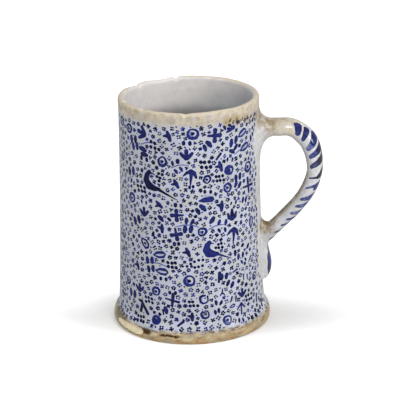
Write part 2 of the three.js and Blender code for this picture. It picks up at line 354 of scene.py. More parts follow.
def rim_dip(angle, around, body, stage):
    """How far the top of the rim dips at each angle: its waver, small dents, and the chips."""
    level = around * (1, 1, 0)
    dip = body.rim_waver * (0.5 + 0.5 * lumpy(level, 0.55, 3))
    dip += 0.35 * body.rim_waver * np.maximum(lumpy(level, 0.09, 4), 0)
    for nick in NICKS:
        gap = turned_by(angle, rim_turn(stage, body, nick.column, nick.row)) * body.rim_radius
        dip += nick.depth * MM * np.exp(-((gap / (nick.width * MM)) ** 2))
    return dip


def flake_depth(angle, z, outside, body):
    """How much has broken off the foot at each point: a hollow, taller at one end and deeper at its top."""
    gap = np.clip(turned_by(angle, FLAKE_TURN) * body.foot_radius / FLAKE_LENGTH, -1, 1)
    rise = np.clip((z - FLAKE_HEIGHT + 0.4 * MM * gap) / (FLAKE_TALL * (1 + 0.26 * gap)), -1, 1)
    scoop = smooth(1 - gap**4 - rise**2, 0, 0.5) * (1 + 0.7 * rise)
    return np.where(outside, FLAKE_DEPTH * scoop, 0)


def loosen(points, body, stage):
    """Gives the turned points the waver of a thrown wall, its chipped rim and its flaked foot, and says how
    deep the flake is at each."""
    x, y, z = points.T
    angle, radius = turn_of(x, y), np.hypot(x, y)
    around = np.stack([np.cos(angle), np.sin(angle), z / body.height], 1)
    outside = radius > body.rim_radius - body.rim_wall / 2
    push = np.where(radius > 20 * MM, thrown_push(around, z, outside, body) / np.maximum(radius, MM), 0)
    grow = 1 + push * smooth(z, 0, 2 * MM)
    z = z - rim_dip(angle, around, body, stage) * smooth(z, body.height - DIP_REACH, body.height)
    depth = flake_depth(angle, z, outside, body)
    grow *= 1 - depth / np.maximum(radius, MM)
    return np.stack([x * grow, y * grow, z], 1), depth


# Strokes of the brush

# One straight pull: its two ends, its half width at each, how much ink it leaves, and how burnt that ink is
Stroke = namedtuple("Stroke", "x0 y0 x1 y1 r0 r1 ink burn", defaults=(1.0, 0.0))
STROKE_SLOTS = 6  # the most strokes that one face keeps
UNUSED_WIDTH = -0.01  # a stroke this thin is never drawn


def path(points, widths, ink=1.0, burn=0.0):
    """One pull of the brush through several points."""
    pairs = zip(points, points[1:], widths, widths[1:])
    return [Stroke(*start, *end, wide, wider, ink, burn) for start, end, wide, wider in pairs]


def drawn(size, *pulls):
    """Pulls of the brush in units of a motif's size, each with points, half widths and, if not 1, its ink."""
    made = []
    for points, widths, *ink in pulls:
        made += path([(x * size, y * size) for x, y in points], [wide * size for wide in widths], *ink)
    return made


def ring(size, dice, dot=True, pen=0.18, gap=0):
    """A ring drawn in one uneven turn of the brush, with a dot in its middle and a wash to one side."""
    sides = 10
    start = dice.uniform(0, TURN)
    points = []
    for i in range(sides):
        angle, reach = start + TURN * i / sides, 0.8 * dice.uniform(0.88, 1.1)
        points.append((reach * math.cos(angle), reach * math.sin(angle)))
    points = (points + points[:1])[:sides + 1 - gap]
    widths = [pen * (0.95 + 0.35 * math.sin(TURN * i / sides)) for i in range(len(points))]
    made = drawn(size, (points, widths, dice.uniform(0.63, 0.86)))
    if dot:
        made += drawn(size, ([(-0.05, 0), (0.05, -0.02)], (0.24, 0.2), 0.95),
                      ([(-0.4, 0.1), (-0.3, -0.3)], (0.3, 0.26), 0.38))
    return made


def bare_ring(size, dice):
    return ring(size, dice, dot=False, pen=0.17, gap=1)


def blot(size, dice):
    """A ring so full of colour that it has nearly closed."""
    return ring(size, dice, pen=0.3) + drawn(size, ([(-0.3, 0.1), (0.1, -0.35)], (0.3, 0.25), 0.8))


def drop(size, dice):
    """An outlined drop with its point up and to the left, a dot in it and a wash."""
    outline = [(-0.9, 0.95), (0.05, 0.75), (0.7, 0.1), (0.6, -0.65),
               (0.0, -0.85), (-0.55, -0.4), (-0.9, 0.3), (-0.9, 0.95)]
    return drawn(size, (outline, (0.12, 0.17, 0.15, 0.17, 0.19, 0.15, 0.17, 0.12), 0.82),
                 ([(-0.2, 0.1), (0.05, -0.05)], (0.2, 0.12), 0.9), ([(0.2, 0), (0.2, -0.4)], (0.3, 0.3), 0.2))


def cross(size, dice):
    """Four petals, fuller at their ends, one of them longer and thinner."""
    tilt = dice.uniform(-0.1, 0.1)
    longer = dice.randrange(4)
    made = []
    for i in range(4):
        angle = tilt + TURN * i / 4
        far, wide = (0.9, 0.13) if i == longer else (0.68, 0.29)
        points = [(reach * math.cos(angle), reach * math.sin(angle)) for reach in (0.1, far)]
        made += drawn(size, (points, (0.18, wide), dice.uniform(0.76, 0.86)))
    return made


def thin_cross(size, dice):
    """Two thin lines that cross, one with a full end."""
    return drawn(size, ([(-1, 0.05), (0.95, -0.1)], (0.1, 0.17), 0.8),
                 ([(0, 0.95), (0.08, -0.9)], (0.22, 0.16), 0.9))


def sprig(size, dice):
    """A full upright petal with a short one at its side."""
    return drawn(size, ([(-0.12, 0.75), (0.08, 0.05), (0.3, -0.75)], (0.22, 0.40, 0.26), 0.82),
                 ([(0.05, 0.02), (-0.85, 0.0)], (0.4, 0.12), 0.85))


def crown(size, dice):
    """Three fat petals that fan up from one foot."""
    sides = [([(side * 0.12, -0.55), (side * 0.5, -0.15), (side * 0.9, 0.3)], (0.25, 0.28, 0.24), 0.86)
             for side in (-1, 1)]
    return drawn(size, ([(0.02, -0.5), (-0.02, 0.75)], (0.26, 0.3), 0.86), *sides)


def bud(size, dice):
    """A closed bud that sits in a full bowl."""
    bowl = [(-0.9, 0.3), (-0.65, -0.4), (0, -0.7), (0.65, -0.4), (0.9, 0.3)]
    return drawn(size, (bowl, (0.2, 0.34, 0.42, 0.36, 0.2), 0.85), ([(0.02, 0.15), (0, 0.95)], (0.4, 0.22)))


def arrow(size, dice):
    """An arched head on a stalk."""
    arch = [(-0.91, 0.25), (-0.45, 0.64), (0.04, 0.82), (0.42, 0.58), (0.64, 0.0)]
    return drawn(size, (arch, (0.05, 0.17, 0.24, 0.22, 0.12), 0.84),
                 ([(0.05, 0.7), (0.04, 0.1), (-0.08, -0.95)], (0.24, 0.17, 0.05), 0.78))


def dart(size, dice):
    """A plain arrow that points up."""
    sides = [([(0, 0.9), (side * 0.78, 0.05)], (0.16, 0.1), 0.8) for side in (-1, 1)]
    return drawn(size, ([(0, 0.9), (0.02, -0.95)], (0.14, 0.12), 0.85), *sides)


def gable(size, dice):
    """Two long strokes that lean together."""
    return drawn(size, ([(-0.3, 0.95), (0.95, -0.85)], (0.2, 0.24)),
                 ([(-0.75, 1.0), (-0.2, 0.9)], (0.16, 0.24)),
                 ([(-0.1, 0.7), (-0.4, -0.7)], (0.2, 0.24), 0.95))


def bird(size, dice, stout=1.12, ink=1.12):
    """A bird seen from the side: small head on top, hollow back, and a long thin tail down to the right."""
    spine = [(-0.09, 0.80), (-0.29, 0.54), (-0.36, 0.15), (-0.13, -0.19), (0.28, -0.34), (0.66, -0.36)]
    tail = [(0.6, -0.36), (1.06, -0.58), (1.55, -0.82), (2.0, -1.04)]
    return drawn(size, (spine, [stout * half for half in (0.13, 0.16, 0.21, 0.25, 0.18, 0.1)], ink),
                 (tail, (0.11, 0.07, 0.04, 0.01), ink), ([(-0.06, 0.78), (0.34, 0.66)], (0.08, 0.02), 0.8))


def stout_bird(size, dice):
    return bird(size, dice, stout=1.55, ink=0.76)


def leaf(size, dice):
    """One lengthwise mark, fuller in the middle."""
    return drawn(size, ([(0, -0.6), (0.05, 0), (0, 0.58)], (0.32, 0.5, 0.38), dice.uniform(0.72, 0.96)))


def slim_leaf(size, dice):
    return drawn(size, ([(0, -0.8), (0, 0.78)], (0.17, 0.27), dice.uniform(0.75, 0.95)))


def two_leaves(size, dice):
    """A pair of leaves side by side."""
    pair = [([(side * 0.64, side * 0.1 - 0.52), (side * 0.62, side * 0.1), (side * 0.68, side * 0.1 + 0.5)],
             (0.34, 0.48, 0.38), dice.uniform(0.74, 0.96)) for side in (-1, 1)]
    return drawn(size, *pair)


def hollow_leaf(size, dice):
    """The outline of a leaf on its side, heavier along the top, with a pale wash in it."""
    return drawn(size, ([(-0.95, 0.05), (-0.3, 0.4), (0.5, 0.42), (0.9, 0.2)], (0.08, 0.18, 0.2, 0.08), 0.72),
                 ([(-0.9, 0), (-0.2, -0.32), (0.6, -0.3), (0.95, 0.05)], (0.06, 0.14, 0.15, 0.07), 0.68),
                 ([(-0.5, 0.04), (0.55, 0.06)], (0.2, 0.22), 0.16))


def boat(size, dice):
    """A wide full mark, pointed at one end, under a pale wash."""
    return drawn(size, ([(-0.95, -0.12), (-0.3, -0.05), (0.8, 0.0)], (0.12, 0.34, 0.42), 0.72),
                 ([(-0.2, 0.5), (0.5, 0.52)], (0.2, 0.16), 0.22))


def cluster(size, dice):
    """Large loose dots close together, two or three over three."""
    made = []
    missing = dice.randrange(6)
    for i in range(6):
        if i == missing and i < 3:
            continue
        across = (i % 3 - 1) * 1.45 + (i // 3) * 0.3 + dice.uniform(-0.15, 0.15)
        up = (0.5 - i // 3) * 1.6 + dice.uniform(-0.2, 0.2)
        made += drawn(size, ([(across, up), (across + 0.1, up - 0.15)], (0.52, 0.46), 1.15))
    return made


def beads(size, dice):
    """Dots along a low arch, over a nearly straight row of dots."""
    arch = [(-1, -0.1), (-0.55, 0.22), (-0.08, 0.5), (0.45, 0.68), (0.98, 0.68)]
    row = [(-0.45, -0.12), (-0.05, -0.26), (0.4, -0.2), (0.9, -0.08)]
    return drawn(size, *[([point, point], (0.16, 0.16)) for point in arch + row])


def spot(size, dice):
    return drawn(size, ([(0, 0.45), (0, -0.45)], (1, 0.95), dice.uniform(0.88, 1)))


def stalk(size, dice):
    """A thin pale line that joins a few leaves, as thin at every size."""
    line = [(-size, -0.12 * size), (-0.3 * size, 0.08 * size), (0.4 * size, 0.1 * size), (size, -0.1 * size)]
    return path(line, [0.3 * MM, 0.35 * MM, 0.35 * MM, 0.25 * MM], 0.36)


def fork(size, dice):
    """A small forked twig."""
    return drawn(size, ([(0, 0), (0.1, 1)], (0.16, 0.14), 0.8), ([(0, 0), (-0.6, -0.8)], (0.18, 0.1), 0.8),
                 ([(0, 0), (0.7, -0.8)], (0.18, 0.12), 0.8))


# The painting in front, in the order in which it is brushed: runs of one motif, and for each of its places
# the column and row in the photograph, the motif's size in millimetres and its turn in degrees
MOTIF_RUNS = [
    (ring, [(192.8, 133.8, 4.5, 10), (162.1, 161.5, 3.9, 20), (207.1, 179.7, 3.2, 0), (227.8, 187.7, 3.7, 0),
            (248, 166.6, 4.3, 0), (131.9, 197.6, 4.0, 8), (202.3, 232.1, 3.5, 30), (189.2, 281.2, 4.5, 0),
            (155.8, 291.4, 3.6, 15), (227.8, 320, 3.6, 40), (254.6, 275.4, 3.2, 0), (128.6, 279.8, 3.0, 0),
            (129, 128, 3.8, 0)]),
    (bare_ring, [(204.1, 299.5, 3.7, 0), (205.4, 314.6, 3.5, 120)]), (blot, [(229.7, 170.2, 3.5, -20)]),
    (drop, [(145.5, 243.7, 3.7, 0)]), (blot, [(155.8, 319.6, 3.3, 0)]),
    (cross, [(215.1, 135.7, 5.5, 0), (176.5, 215.5, 4.9, 0), (176.3, 234.7, 4.9, 8)]),
    (thin_cross, [(248.2, 185.4, 5.6, 4), (172.3, 300.4, 4.8, -8)]), (boat, [(230.5, 129.5, 3.6, 20)]),
    (sprig, [(168, 136.2, 4.0, 2), (220.2, 166.4, 4.0, 0), (187.4, 252.4, 3.6, 6), (161.6, 228.4, 3.4, -14),
             (158.7, 204.8, 3.5, 32), (191.8, 316.9, 3.3, -14), (221.4, 206, 4.0, -20), (175.6, 184, 3.6, 12),
             (137.5, 265, 3.4, 0)]),
    (crown, [(186.4, 155.6, 4.3, 0), (144, 212.3, 3.8, 0), (139.7, 288, 3.6, 0), (142, 133, 4.6, 72),
             (242.5, 293.2, 3.6, 0)]),
    (bud, [(232.3, 214.8, 3.9, 0)]), (arrow, [(190.8, 178, 5.8, 0), (233.8, 235.8, 6.0, 0)]),
    (dart, [(241.6, 308.4, 4.4, 0)]), (gable, [(142.9, 307, 4.6, 0)]), (bird, [(150.4, 183, 10, 0)]),
    (stout_bird, [(210.6, 251.2, 7.8, 1)]), (boat, [(206.1, 199.8, 4.8, 0)]),
    (hollow_leaf, [(159.4, 255.2, 4.8, 8), (161.6, 272, 4.8, -3), (242.5, 133.4, 4.6, 25),
                   (244.7, 147.4, 4.8, 22), (251.4, 221.8, 4.6, 84)]),
    (leaf, [(142.8, 149.2, 3.7, 75), (144.2, 154.6, 3.5, 88)]),
    (two_leaves, [(133.4, 139.2, 3.4, 0), (135.2, 146.2, 3.2, 6), (131.4, 171, 3.6, 6)]),
    (leaf, [(131.3, 180.4, 1.9, -25), (125.5, 181.5, 2.2, 20), (209, 144.3, 3.3, 42), (204.9, 148.2, 2.8, 18),
            (236.1, 139.8, 3.1, -14), (231.4, 143.3, 3.3, -10), (235.8, 147.2, 2.7, -40),
            (232.3, 151.6, 2.9, 60)]),
    (slim_leaf, [(218.6, 156.8, 3.2, -42)]),
    (leaf, [(227.6, 159.7, 1.6, -12), (232.6, 159.7, 1.6, -10), (175.9, 171.6, 2.1, 38),
            (181, 169.4, 2.1, 30), (172.4, 163.6, 1.9, 10)]),
    (two_leaves, [(238.2, 177.2, 3.0, 0), (238, 184.6, 2.9, -28)]),
    (leaf, [(203, 208.1, 3.5, 42), (197.9, 211.6, 2.9, 28), (212.2, 220.4, 3.2, -36),
            (219.2, 222.6, 2.3, -22), (226, 222.4, 2.4, -12), (186.3, 221.2, 2.6, -4),
            (192.3, 222, 2.4, -30)]),
    (two_leaves, [(188, 229.6, 3.2, -8)]),
    (leaf, [(219.4, 230.8, 1.9, 30), (225.3, 229.8, 2.0, 10), (152.9, 234, 2.1, -22)]),
    (two_leaves, [(137, 220, 3.5, 18)]), (leaf, [(160.8, 218.6, 3.0, 45), (169.2, 219.6, 1.9, 48)]),
    (two_leaves, [(149.6, 260.2, 3.1, 0), (150.8, 268.8, 2.9, 6)]),
    (leaf, [(235.4, 253.2, 2.4, 2), (238.7, 256.8, 2.4, -4), (243.1, 254.8, 2.3, -2), (242, 262, 1.8, 30),
            (245.7, 259.3, 1.5, 30)]),
    (slim_leaf, [(250, 258.4, 2.6, -40)]), (leaf, [(247.9, 245.9, 2.3, -35)]),
    (slim_leaf, [(235.4, 270.7, 2.4, -70), (219.4, 277.6, 4.2, -6)]), (two_leaves, [(224.3, 276.6, 2.8, -8)]),
    (leaf, [(228.2, 283.2, 2.6, -28), (232.4, 284.9, 2.7, -28)]), (fork, [(222.4, 292.8, 2.6, 0)]),
    (leaf, [(216.2, 303, 2.1, 8), (221.1, 303, 2.0, -30)]), (two_leaves, [(217.3, 311.6, 2.1, 10)]),
    (slim_leaf, [(231.6, 299.5, 2.3, -22), (236.2, 299, 2.2, -8)]), (hollow_leaf, [(232.8, 306.4, 2.4, 15)]),
    (leaf, [(165.8, 310.4, 3.1, 14)]), (slim_leaf, [(163.2, 312.2, 2.2, 10), (180.8, 323.8, 3.0, -50)]),
    (leaf, [(183.2, 321.4, 1.6, -10), (131, 292, 3.3, 6), (134.6, 294.2, 3.3, -4), (239.4, 320.4, 1.6, -20),
            (243.4, 320, 1.6, -8)]),
    (slim_leaf, [(243.8, 277.1, 2.2, 4), (247.4, 276.7, 2.2, 2), (256.6, 297.7, 3.6, 0)]),
    (two_leaves, [(244.6, 199.6, 2.5, -18)]),
    (leaf, [(236.1, 202.1, 1.5, -14), (231.3, 203.5, 1.3, -24), (252, 209, 2.4, -24), (141.6, 201.5, 1.6, 14),
            (146.1, 202.8, 1.4, 0), (250.8, 138.3, 2.6, 8), (252.6, 134, 2.0, 30), (251.8, 147, 1.5, 0),
            (224.8, 128, 2.0, 30)]),
    (two_leaves, [(229.6, 127.2, 1.9, 60)]),
    (cluster, [(154, 145.4, 2.1, -8), (158.2, 177.4, 1.9, 60), (141, 188.6, 2.1, 0), (204.9, 164.6, 2.2, 0),
               (219.6, 178.6, 1.9, 0), (171.4, 264.8, 2.0, 0), (218.4, 246, 1.7, 0), (148.4, 299.6, 1.8, 0),
               (192.9, 304.1, 1.8, 0), (248.8, 297, 2.0, 0), (140.6, 318.4, 1.8, 0)]),
    (beads, [(195.2, 265.6, 5.6, 0)]),
    (spot, [(183.5, 143.4, 1.12, 0), (189.9, 143.6, 1.12, 0), (177.6, 161.5, 1.25, 0), (204.9, 192, 0.92, 0),
            (210.8, 192, 0.92, 0), (189.6, 187.5, 0.86, 0), (193.1, 186.9, 0.79, 0), (175.4, 205.2, 1.12, 0),
            (181, 205.9, 0.92, 0), (160.7, 278.6, 0.92, 0), (166, 279.5, 0.92, 0), (169.7, 292.8, 0.92, 0),
            (175.4, 293.2, 0.92, 0), (174.4, 244.2, 1.12, 0), (178.6, 244, 0.99, 0), (141.4, 157.8, 1.12, 0),
            (146.6, 159.8, 1.12, 0)]),
    (stalk, [(148.5, 143.4, 7, 8), (187.4, 226.2, 8, -2), (217, 226.4, 6, 8), (180, 166, 6, 6),
             (155, 264, 9, 0), (240, 150.8, 5, 12)]),
]

# Brown lines, as (column, row) in the photograph
CRACK = [(246, 266), (244, 277), (241.6, 287), (237.5, 294), (232, 301)]
BARE_EDGE = [(257.6, 222), (257, 240), (256.8, 262)]
DASHES = [(230.5, 120), (233.5, 121.8), (237, 119.2), (240, 121), (242.5, 118.4), (245.2, 120.4),
          (247, 117.2), (249.8, 119), (250.8, 115.6), (253.6, 117.6), (254, 114), (256.6, 115.6),
          (256.2, 111.6)]
UNDER_RIM = [(228, 122.5), (237, 121), (246, 118.5), (255, 115)]
RUSTY = 1.9  # a burn at which the blue is gone and only brown is left

DarkMark = namedtuple("DarkMark", "column row size squash share")
# Dark marks on the foot: their size in millimetres, how many times flatter than wide they are, and how dark
FOOT_MARKS_AND_SHADE = [
    # The first and widest is painted shade on the foot's far left; the others are scorch and dirt.
    DarkMark(117.5, 307, 14, 1.3, 0.55), DarkMark(123.5, 317, 5, 2, 0.6), DarkMark(146.4, 330.6, 5.6, 1.4, 1),
    DarkMark(163.5, 335.6, 4.4, 3.5, 1), DarkMark(169, 336.2, 4.6, 3.5, 0.95), DarkMark(174.5, 337, 4.4, 3.5, 1),
    DarkMark(247, 317, 5, 2, 0.8),
]

# The motifs that are scattered behind: how often each comes, and its size in millimetres
SCATTER = [
    (ring, 9, 3.5), (bare_ring, 3, 3.4), (drop, 2, 3.6), (blot, 1, 3.3), (cross, 6, 4.7), (sprig, 8, 3.4),
    (crown, 5, 4.0), (bud, 2, 3.2), (arrow, 2, 4.6), (dart, 1, 4.2), (gable, 1, 4.4), (boat, 1, 4.6),
    (hollow_leaf, 4, 4.6), (two_leaves, 11, 2.5), (leaf, 12, 2.3), (slim_leaf, 5, 2.8), (cluster, 8, 2.0),
    (beads, 1, 5.2), (spot, 10, 0.8), (fork, 1, 2.6),
]
# How often a free spot is looked for
MOTIF_TRIES, FLOWER_TRIES, DOT_TRIES = 2600, 60000, 9000


def placed(strokes, x, y, turn, press):
    """Strokes moved from the motif's own middle to a place on the unrolled wall, and pressed wider."""
    across, up = math.cos(turn), math.sin(turn)
    return [Stroke(x + mark.x0 * across - mark.y0 * up, y + mark.x0 * up + mark.y0 * across,
                   x + mark.x1 * across - mark.y1 * up, y + mark.x1 * up + mark.y1 * across,
                   mark.r0 + press, mark.r1 + press, mark.ink, mark.burn) for mark in strokes]


class Crowd:
    """Round spaces that are taken on the unrolled wall, in cells, so that neighbours are found quickly."""

    def __init__(self, cell):
        self.cell = cell
        self.taken = {}

    def add(self, x, y, radius):
        self.taken.setdefault((int(x // self.cell), int(y // self.cell)), []).append((x, y, radius))

    def add_stroke(self, mark):
        """Takes the space of a stroke, as a row of round ones."""
        steps = 1 + int(math.hypot(mark.x1 - mark.x0, mark.y1 - mark.y0) / MM)
        for i in range(steps + 1):
            t = i / steps
            self.add(mark.x0 + (mark.x1 - mark.x0) * t, mark.y0 + (mark.y1 - mark.y0) * t,
                     mark.r0 + (mark.r1 - mark.r0) * t)

    def free(self, x, y, radius):
        column, row = int(x // self.cell), int(y // self.cell)
        for i in (column - 1, column, column + 1):
            for j in (row - 1, row, row + 1):
                for cx, cy, taken in self.taken.get((i, j), ()):
                    if (cx - x) ** 2 + (cy - y) ** 2 < (taken + radius) ** 2:
                        return False
        return True


def dot_flower(x, y, painting, dice, size=1.0):
    """Four or five small dots in a ring, or three or four in a smaller one, some with a dot in the middle."""
    petals = dice.choice((4, 4, 4, 5, 5)) if size == 1 else dice.choice((3, 4, 4))
    turn = dice.uniform(0, TURN)
    ink = dice.choice((0.7, 0.9, 1.0, 1.1, 1.15, 1.2))
    spread = painting.flower_radius * dice.uniform(0.88, 1.08) * size
    made = []
    for i in range(petals):
        angle = turn + TURN * (i + dice.uniform(-0.1, 0.1)) / petals
        reach = spread * dice.uniform(0.88, 1.1)
        wide = painting.dot_radius * dice.uniform(0.78, 1.08)
        dot_x, dot_y = x + reach * math.cos(angle), y + reach * math.sin(angle)
        slant = dice.uniform(0.0, 0.4) * wide
        made.append(Stroke(dot_x - slant, dot_y, dot_x + slant, dot_y + slant, wide, wide * 0.85,
                           ink * dice.uniform(0.85, 1)))
    if dice.random() < 0.4:
        wide = painting.dot_radius * dice.uniform(0.6, 0.9)
        made.append(Stroke(x, y, x + 0.2 * MM, y, wide, wide, ink))
    return made


def bare_reach(body, painting, height):
    """How far round the wall the bare glaze beside the handle runs. It narrows under the handle's tail."""
    return painting.bare_angle * body.rim_radius * (0.2 + 0.8 * smooth(height, 20 * MM, 44 * MM))


def dirt_strokes(body, stage, outline):
    """Brown lines: the crack down the wall, the edge of the bare glaze, and dashes under the worn rim."""
    made = []
    for line, wide, ink in ((CRACK, 0.18 * MM, 0.5), (BARE_EDGE, 0.5 * MM, 0.35)):
        points = [wall_place(stage, body, outline, *pixel) for pixel in line]
        made += path(points, [wide] * len(points), ink, RUSTY / ink)
    dash = Stroke(-0.4 * MM, -0.9 * MM, 0.5 * MM, 0.8 * MM, 0.75 * MM, 0.5 * MM, 0.85, RUSTY)
    for pixel in DASHES:
        made += placed([dash], *wall_place(stage, body, outline, *pixel), turn=0, press=0)
    return made


class Painter:
    """Covers the unrolled wall with strokes: the motifs in front, scattered ones behind, then small flowers
    and single dots in what is left."""

    def __init__(self, body, painting):
        self.body, self.painting = body, painting
        self.dice = random.Random(painting.seed)
        self.girth = TURN * body.rim_radius
        self.low, self.high = painting.foot_line + 2 * MM, painting.top_line - 1.6 * MM
        self.crowd = Crowd(6 * MM)
        self.strokes = []

    def draw(self, motif, x, y, size, turn):
        made = placed(motif(size, self.dice), x, y, turn, self.painting.press)
        self.strokes += made
        for mark in made:
            self.crowd.add_stroke(mark)

    def any_place(self, past=0):
        """A place picked by chance, up to a distance past the painting's upper and lower edge."""
        return self.dice.uniform(0, self.girth), self.dice.uniform(self.low - past, self.high + past)

    def is_free(self, x, y, radius, from_bare=0):
        """Whether a round space is free, at a distance from the bare glaze beside the handle."""
        bare = bare_reach(self.body, self.painting, y) + from_bare
        return bare < x < self.girth - bare and self.crowd.free(x, y, radius)

    def paint_front(self, stage, outline):
        """The motifs that the photograph shows, and how far round the wall they reach."""
        seen = []
        for motif, places in MOTIF_RUNS:
            for column, row, size, degrees in places:
                x, y = wall_place(stage, self.body, outline, column, row)
                self.draw(motif, x, y, size * MM, math.radians(degrees))
                seen.append(x)
        return min(seen), max(seen)

    def scatter_motifs(self, first, last):
        """More of the same motifs past the first and the last in front, turned at will if they are leaves."""
        kinds = [(motif, size * MM) for motif, weight, size in SCATTER for _ in range(weight)]
        for _ in range(MOTIF_TRIES):
            x, y = self.any_place()
            motif, size = self.dice.choice(kinds)
            size *= self.dice.uniform(0.88, 1.12)
            room = size * 1.05
            turn = self.dice.uniform(-0.5, 0.5)
            if motif in (leaf, two_leaves, slim_leaf):
                turn = self.dice.uniform(-1.4, 1.4)
            behind = x + room < first or x - room > last
            level = self.low + room < y < self.high - room
            if behind and level and self.is_free(x, y, room + 1.7 * MM, room):
                self.draw(motif, x, y, size, turn)

    def fill_with_flowers(self, size):
        room = self.painting.flower_gap / 2 * size
        for _ in range(FLOWER_TRIES):
            x, y = self.any_place()
            if self.is_free(x, y, room):
                self.strokes += dot_flower(x, y, self.painting, self.dice, size)
                self.crowd.add(x, y, room)

    def fill_with_dots(self):
        for _ in range(DOT_TRIES):
            x, y = self.any_place(MM)
            if self.is_free(x, y, 1.0 * MM):
                wide = self.painting.dot_radius * self.dice.uniform(0.6, 1)
                rise = self.dice.uniform(-0.4, 0.4) * MM
                ink = self.dice.uniform(0.6, 1)
                self.strokes.append(Stroke(x, y, x + 0.3 * MM, y + rise, wide, wide * 0.8, ink))
                self.crowd.add(x, y, 1.6 * MM)


def painting_strokes(body, painting, stage, outline):
    """All strokes on the unrolled wall."""
    painter = Painter(body, painting)
    painter.scatter_motifs(*painter.paint_front(stage, outline))
    painter.fill_with_flowers(1.0)
    painter.fill_with_flowers(0.8)
    painter.fill_with_dots()
    return painter.strokes + dirt_strokes(body, stage, outline)


def stroke_gap(mark, x, y):
    """How far a point is from a stroke's edge, and less than nothing inside."""
    run_x, run_y = mark.x1 - mark.x0, mark.y1 - mark.y0
    length = run_x**2 + run_y**2
    t = 0 if length == 0 else min(max(((x - mark.x0) * run_x + (y - mark.y0) * run_y) / length, 0), 1)
    return math.hypot(x - mark.x0 - run_x * t, y - mark.y0 - run_y * t) - mark.r0 - (mark.r1 - mark.r0) * t


def cell_range(start, end, reach, cell):
    """The numbers of the cells within reach of a stretch."""
    return range(int((min(start, end) - reach) // cell), int((max(start, end) + reach) // cell) + 1)


def keep_strokes(mesh, places, strokes, reach):
    """Keeps on each face the strokes nearest to it, if in reach of its place, which is the face's middle."""
    cell = 2 * MM
    cells = {}
    for number, (x, y) in enumerate(places):
        cells.setdefault((int(x // cell), int(y // cell)), []).append(number)
    near = [[] for _ in places]
    for mark in strokes:
        widest = max(mark.r0, mark.r1) + reach
        columns = cell_range(mark.x0, mark.x1, widest, cell)
        for key in product(columns, cell_range(mark.y0, mark.y1, widest, cell)):
            for number in cells.get(key, ()):
                gap = stroke_gap(mark, *places[number])
                if gap < reach:
                    near[number].append((gap, mark))
    kept = np.zeros((STROKE_SLOTS, 2, len(places), 4), np.float32)
    kept[:, :, :, 2] = UNUSED_WIDTH
    for number, found in enumerate(near):
        found.sort(key=lambda item: item[0])
        for slot, (_, mark) in enumerate(found[:STROKE_SLOTS]):
            kept[slot, 0, number] = (mark.x0, mark.y0, mark.r0, mark.ink)
            kept[slot, 1, number] = (mark.x1 - mark.x0, mark.y1 - mark.y0, mark.r1, mark.burn)
    for slot in range(STROKE_SLOTS):
        for name, values in zip(("start", "run"), kept[slot]):
            made = mesh.attributes.new(f"stroke_{slot}_{name}", "FLOAT_COLOR", "FACE")
            made.data.foreach_set("color", values.ravel())


def keep_values(mesh, name, values):
    """Keeps a number on each vertex."""
    mesh.attributes.new(name, "FLOAT", "POINT").data.foreach_set("value", values.astype(np.float32))


def keep_map(mesh, across, up):
    """Keeps the map on which the finish is baked."""
    flat = np.stack([across, up], 1).astype(np.float32)
    mesh.uv_layers.new(name="OFBake").data.foreach_set("uv", flat.ravel())


def keep_places(mesh, places):
    """Keeps the unrolled place of each face corner."""
    flat = np.concatenate([places, np.zeros((len(places), 1))], 1).astype(np.float32)
    mesh.attributes.new("place", "FLOAT_VECTOR", "CORNER").data.foreach_set("vector", flat.ravel())


def corner_faces(mesh):
    """The face that each corner belongs to."""
    sizes = np.zeros(len(mesh.polygons), int)
    mesh.polygons.foreach_get("loop_total", sizes)
    return np.repeat(np.arange(len(sizes)), sizes), sizes


def corner_values(mesh, values):
    """Values of the vertices, read at each face corner."""
    vertex = np.zeros(len(mesh.loops), int)
    mesh.loops.foreach_get("vertex_index", vertex)
    return values[vertex]


def face_middles(mesh, places):
    """Rows of numbers of the corners, averaged over each face."""
    faces, sizes = corner_faces(mesh)
    return np.stack([np.bincount(faces, column, len(sizes)) / sizes for column in places.T], 1)


def wall_middle(body):
    """The radius halfway through the wall at the rim."""
    return body.rim_radius - body.rim_wall / 2


def unwrapped(mesh, turns, valid):
    """Angles at the corners, carried over the full turn where a face crosses it. A pole takes its face's."""
    faces, sizes = corner_faces(mesh)
    corners = corner_values(mesh, turns)
    good = corner_values(mesh, valid)
    high = np.full(len(sizes), -1.0)
    np.maximum.at(high, faces, np.where(good, corners, -1))
    corners = np.where(good & (high[faces] - corners > math.pi), corners + TURN, corners)
    totals = np.bincount(faces, np.where(good, corners, 0), len(sizes))
    counts = np.maximum(np.bincount(faces, good, len(sizes)), 1)
    return np.where(good, corners, (totals / counts)[faces])


def mesh_object(bm, name, material):
    """Turns a bmesh into a smooth-shaded object with a material."""
    mesh = bpy.data.meshes.new(name)
    bm.to_mesh(mesh)
    bm.free()
    mesh.shade_smooth()
    mesh.materials.append(material)
    made = bpy.data.objects.new(name, mesh)
    bpy.context.scene.collection.objects.link(made)
    return made


def dress(piece, slot, *nodes):
    """Puts a finished piece on the object in the place of its nodes."""
    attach(piece, "root")
    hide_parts(*nodes)


# Nodes of the materials

class Value:
    """What a node works out at each point of a surface. It can be used in sums, and each step adds a node."""

    def __init__(self, socket):
        self.socket = socket
        self.tree = socket.id_data

    def __add__(self, other):
        return calc("ADD", self, other)

    def __sub__(self, other):
        return calc("SUBTRACT", self, other)

    def __rsub__(self, other):
        return calc("SUBTRACT", other, self)

    def __mul__(self, other):
        return calc("MULTIPLY", self, other)


def feed(socket, value):
    """Links a value into a socket, or sets the socket where the value is the same everywhere."""
    if isinstance(value, Value):
        value.tree.links.new(value.socket, socket)
    else:
        socket.default_value = value


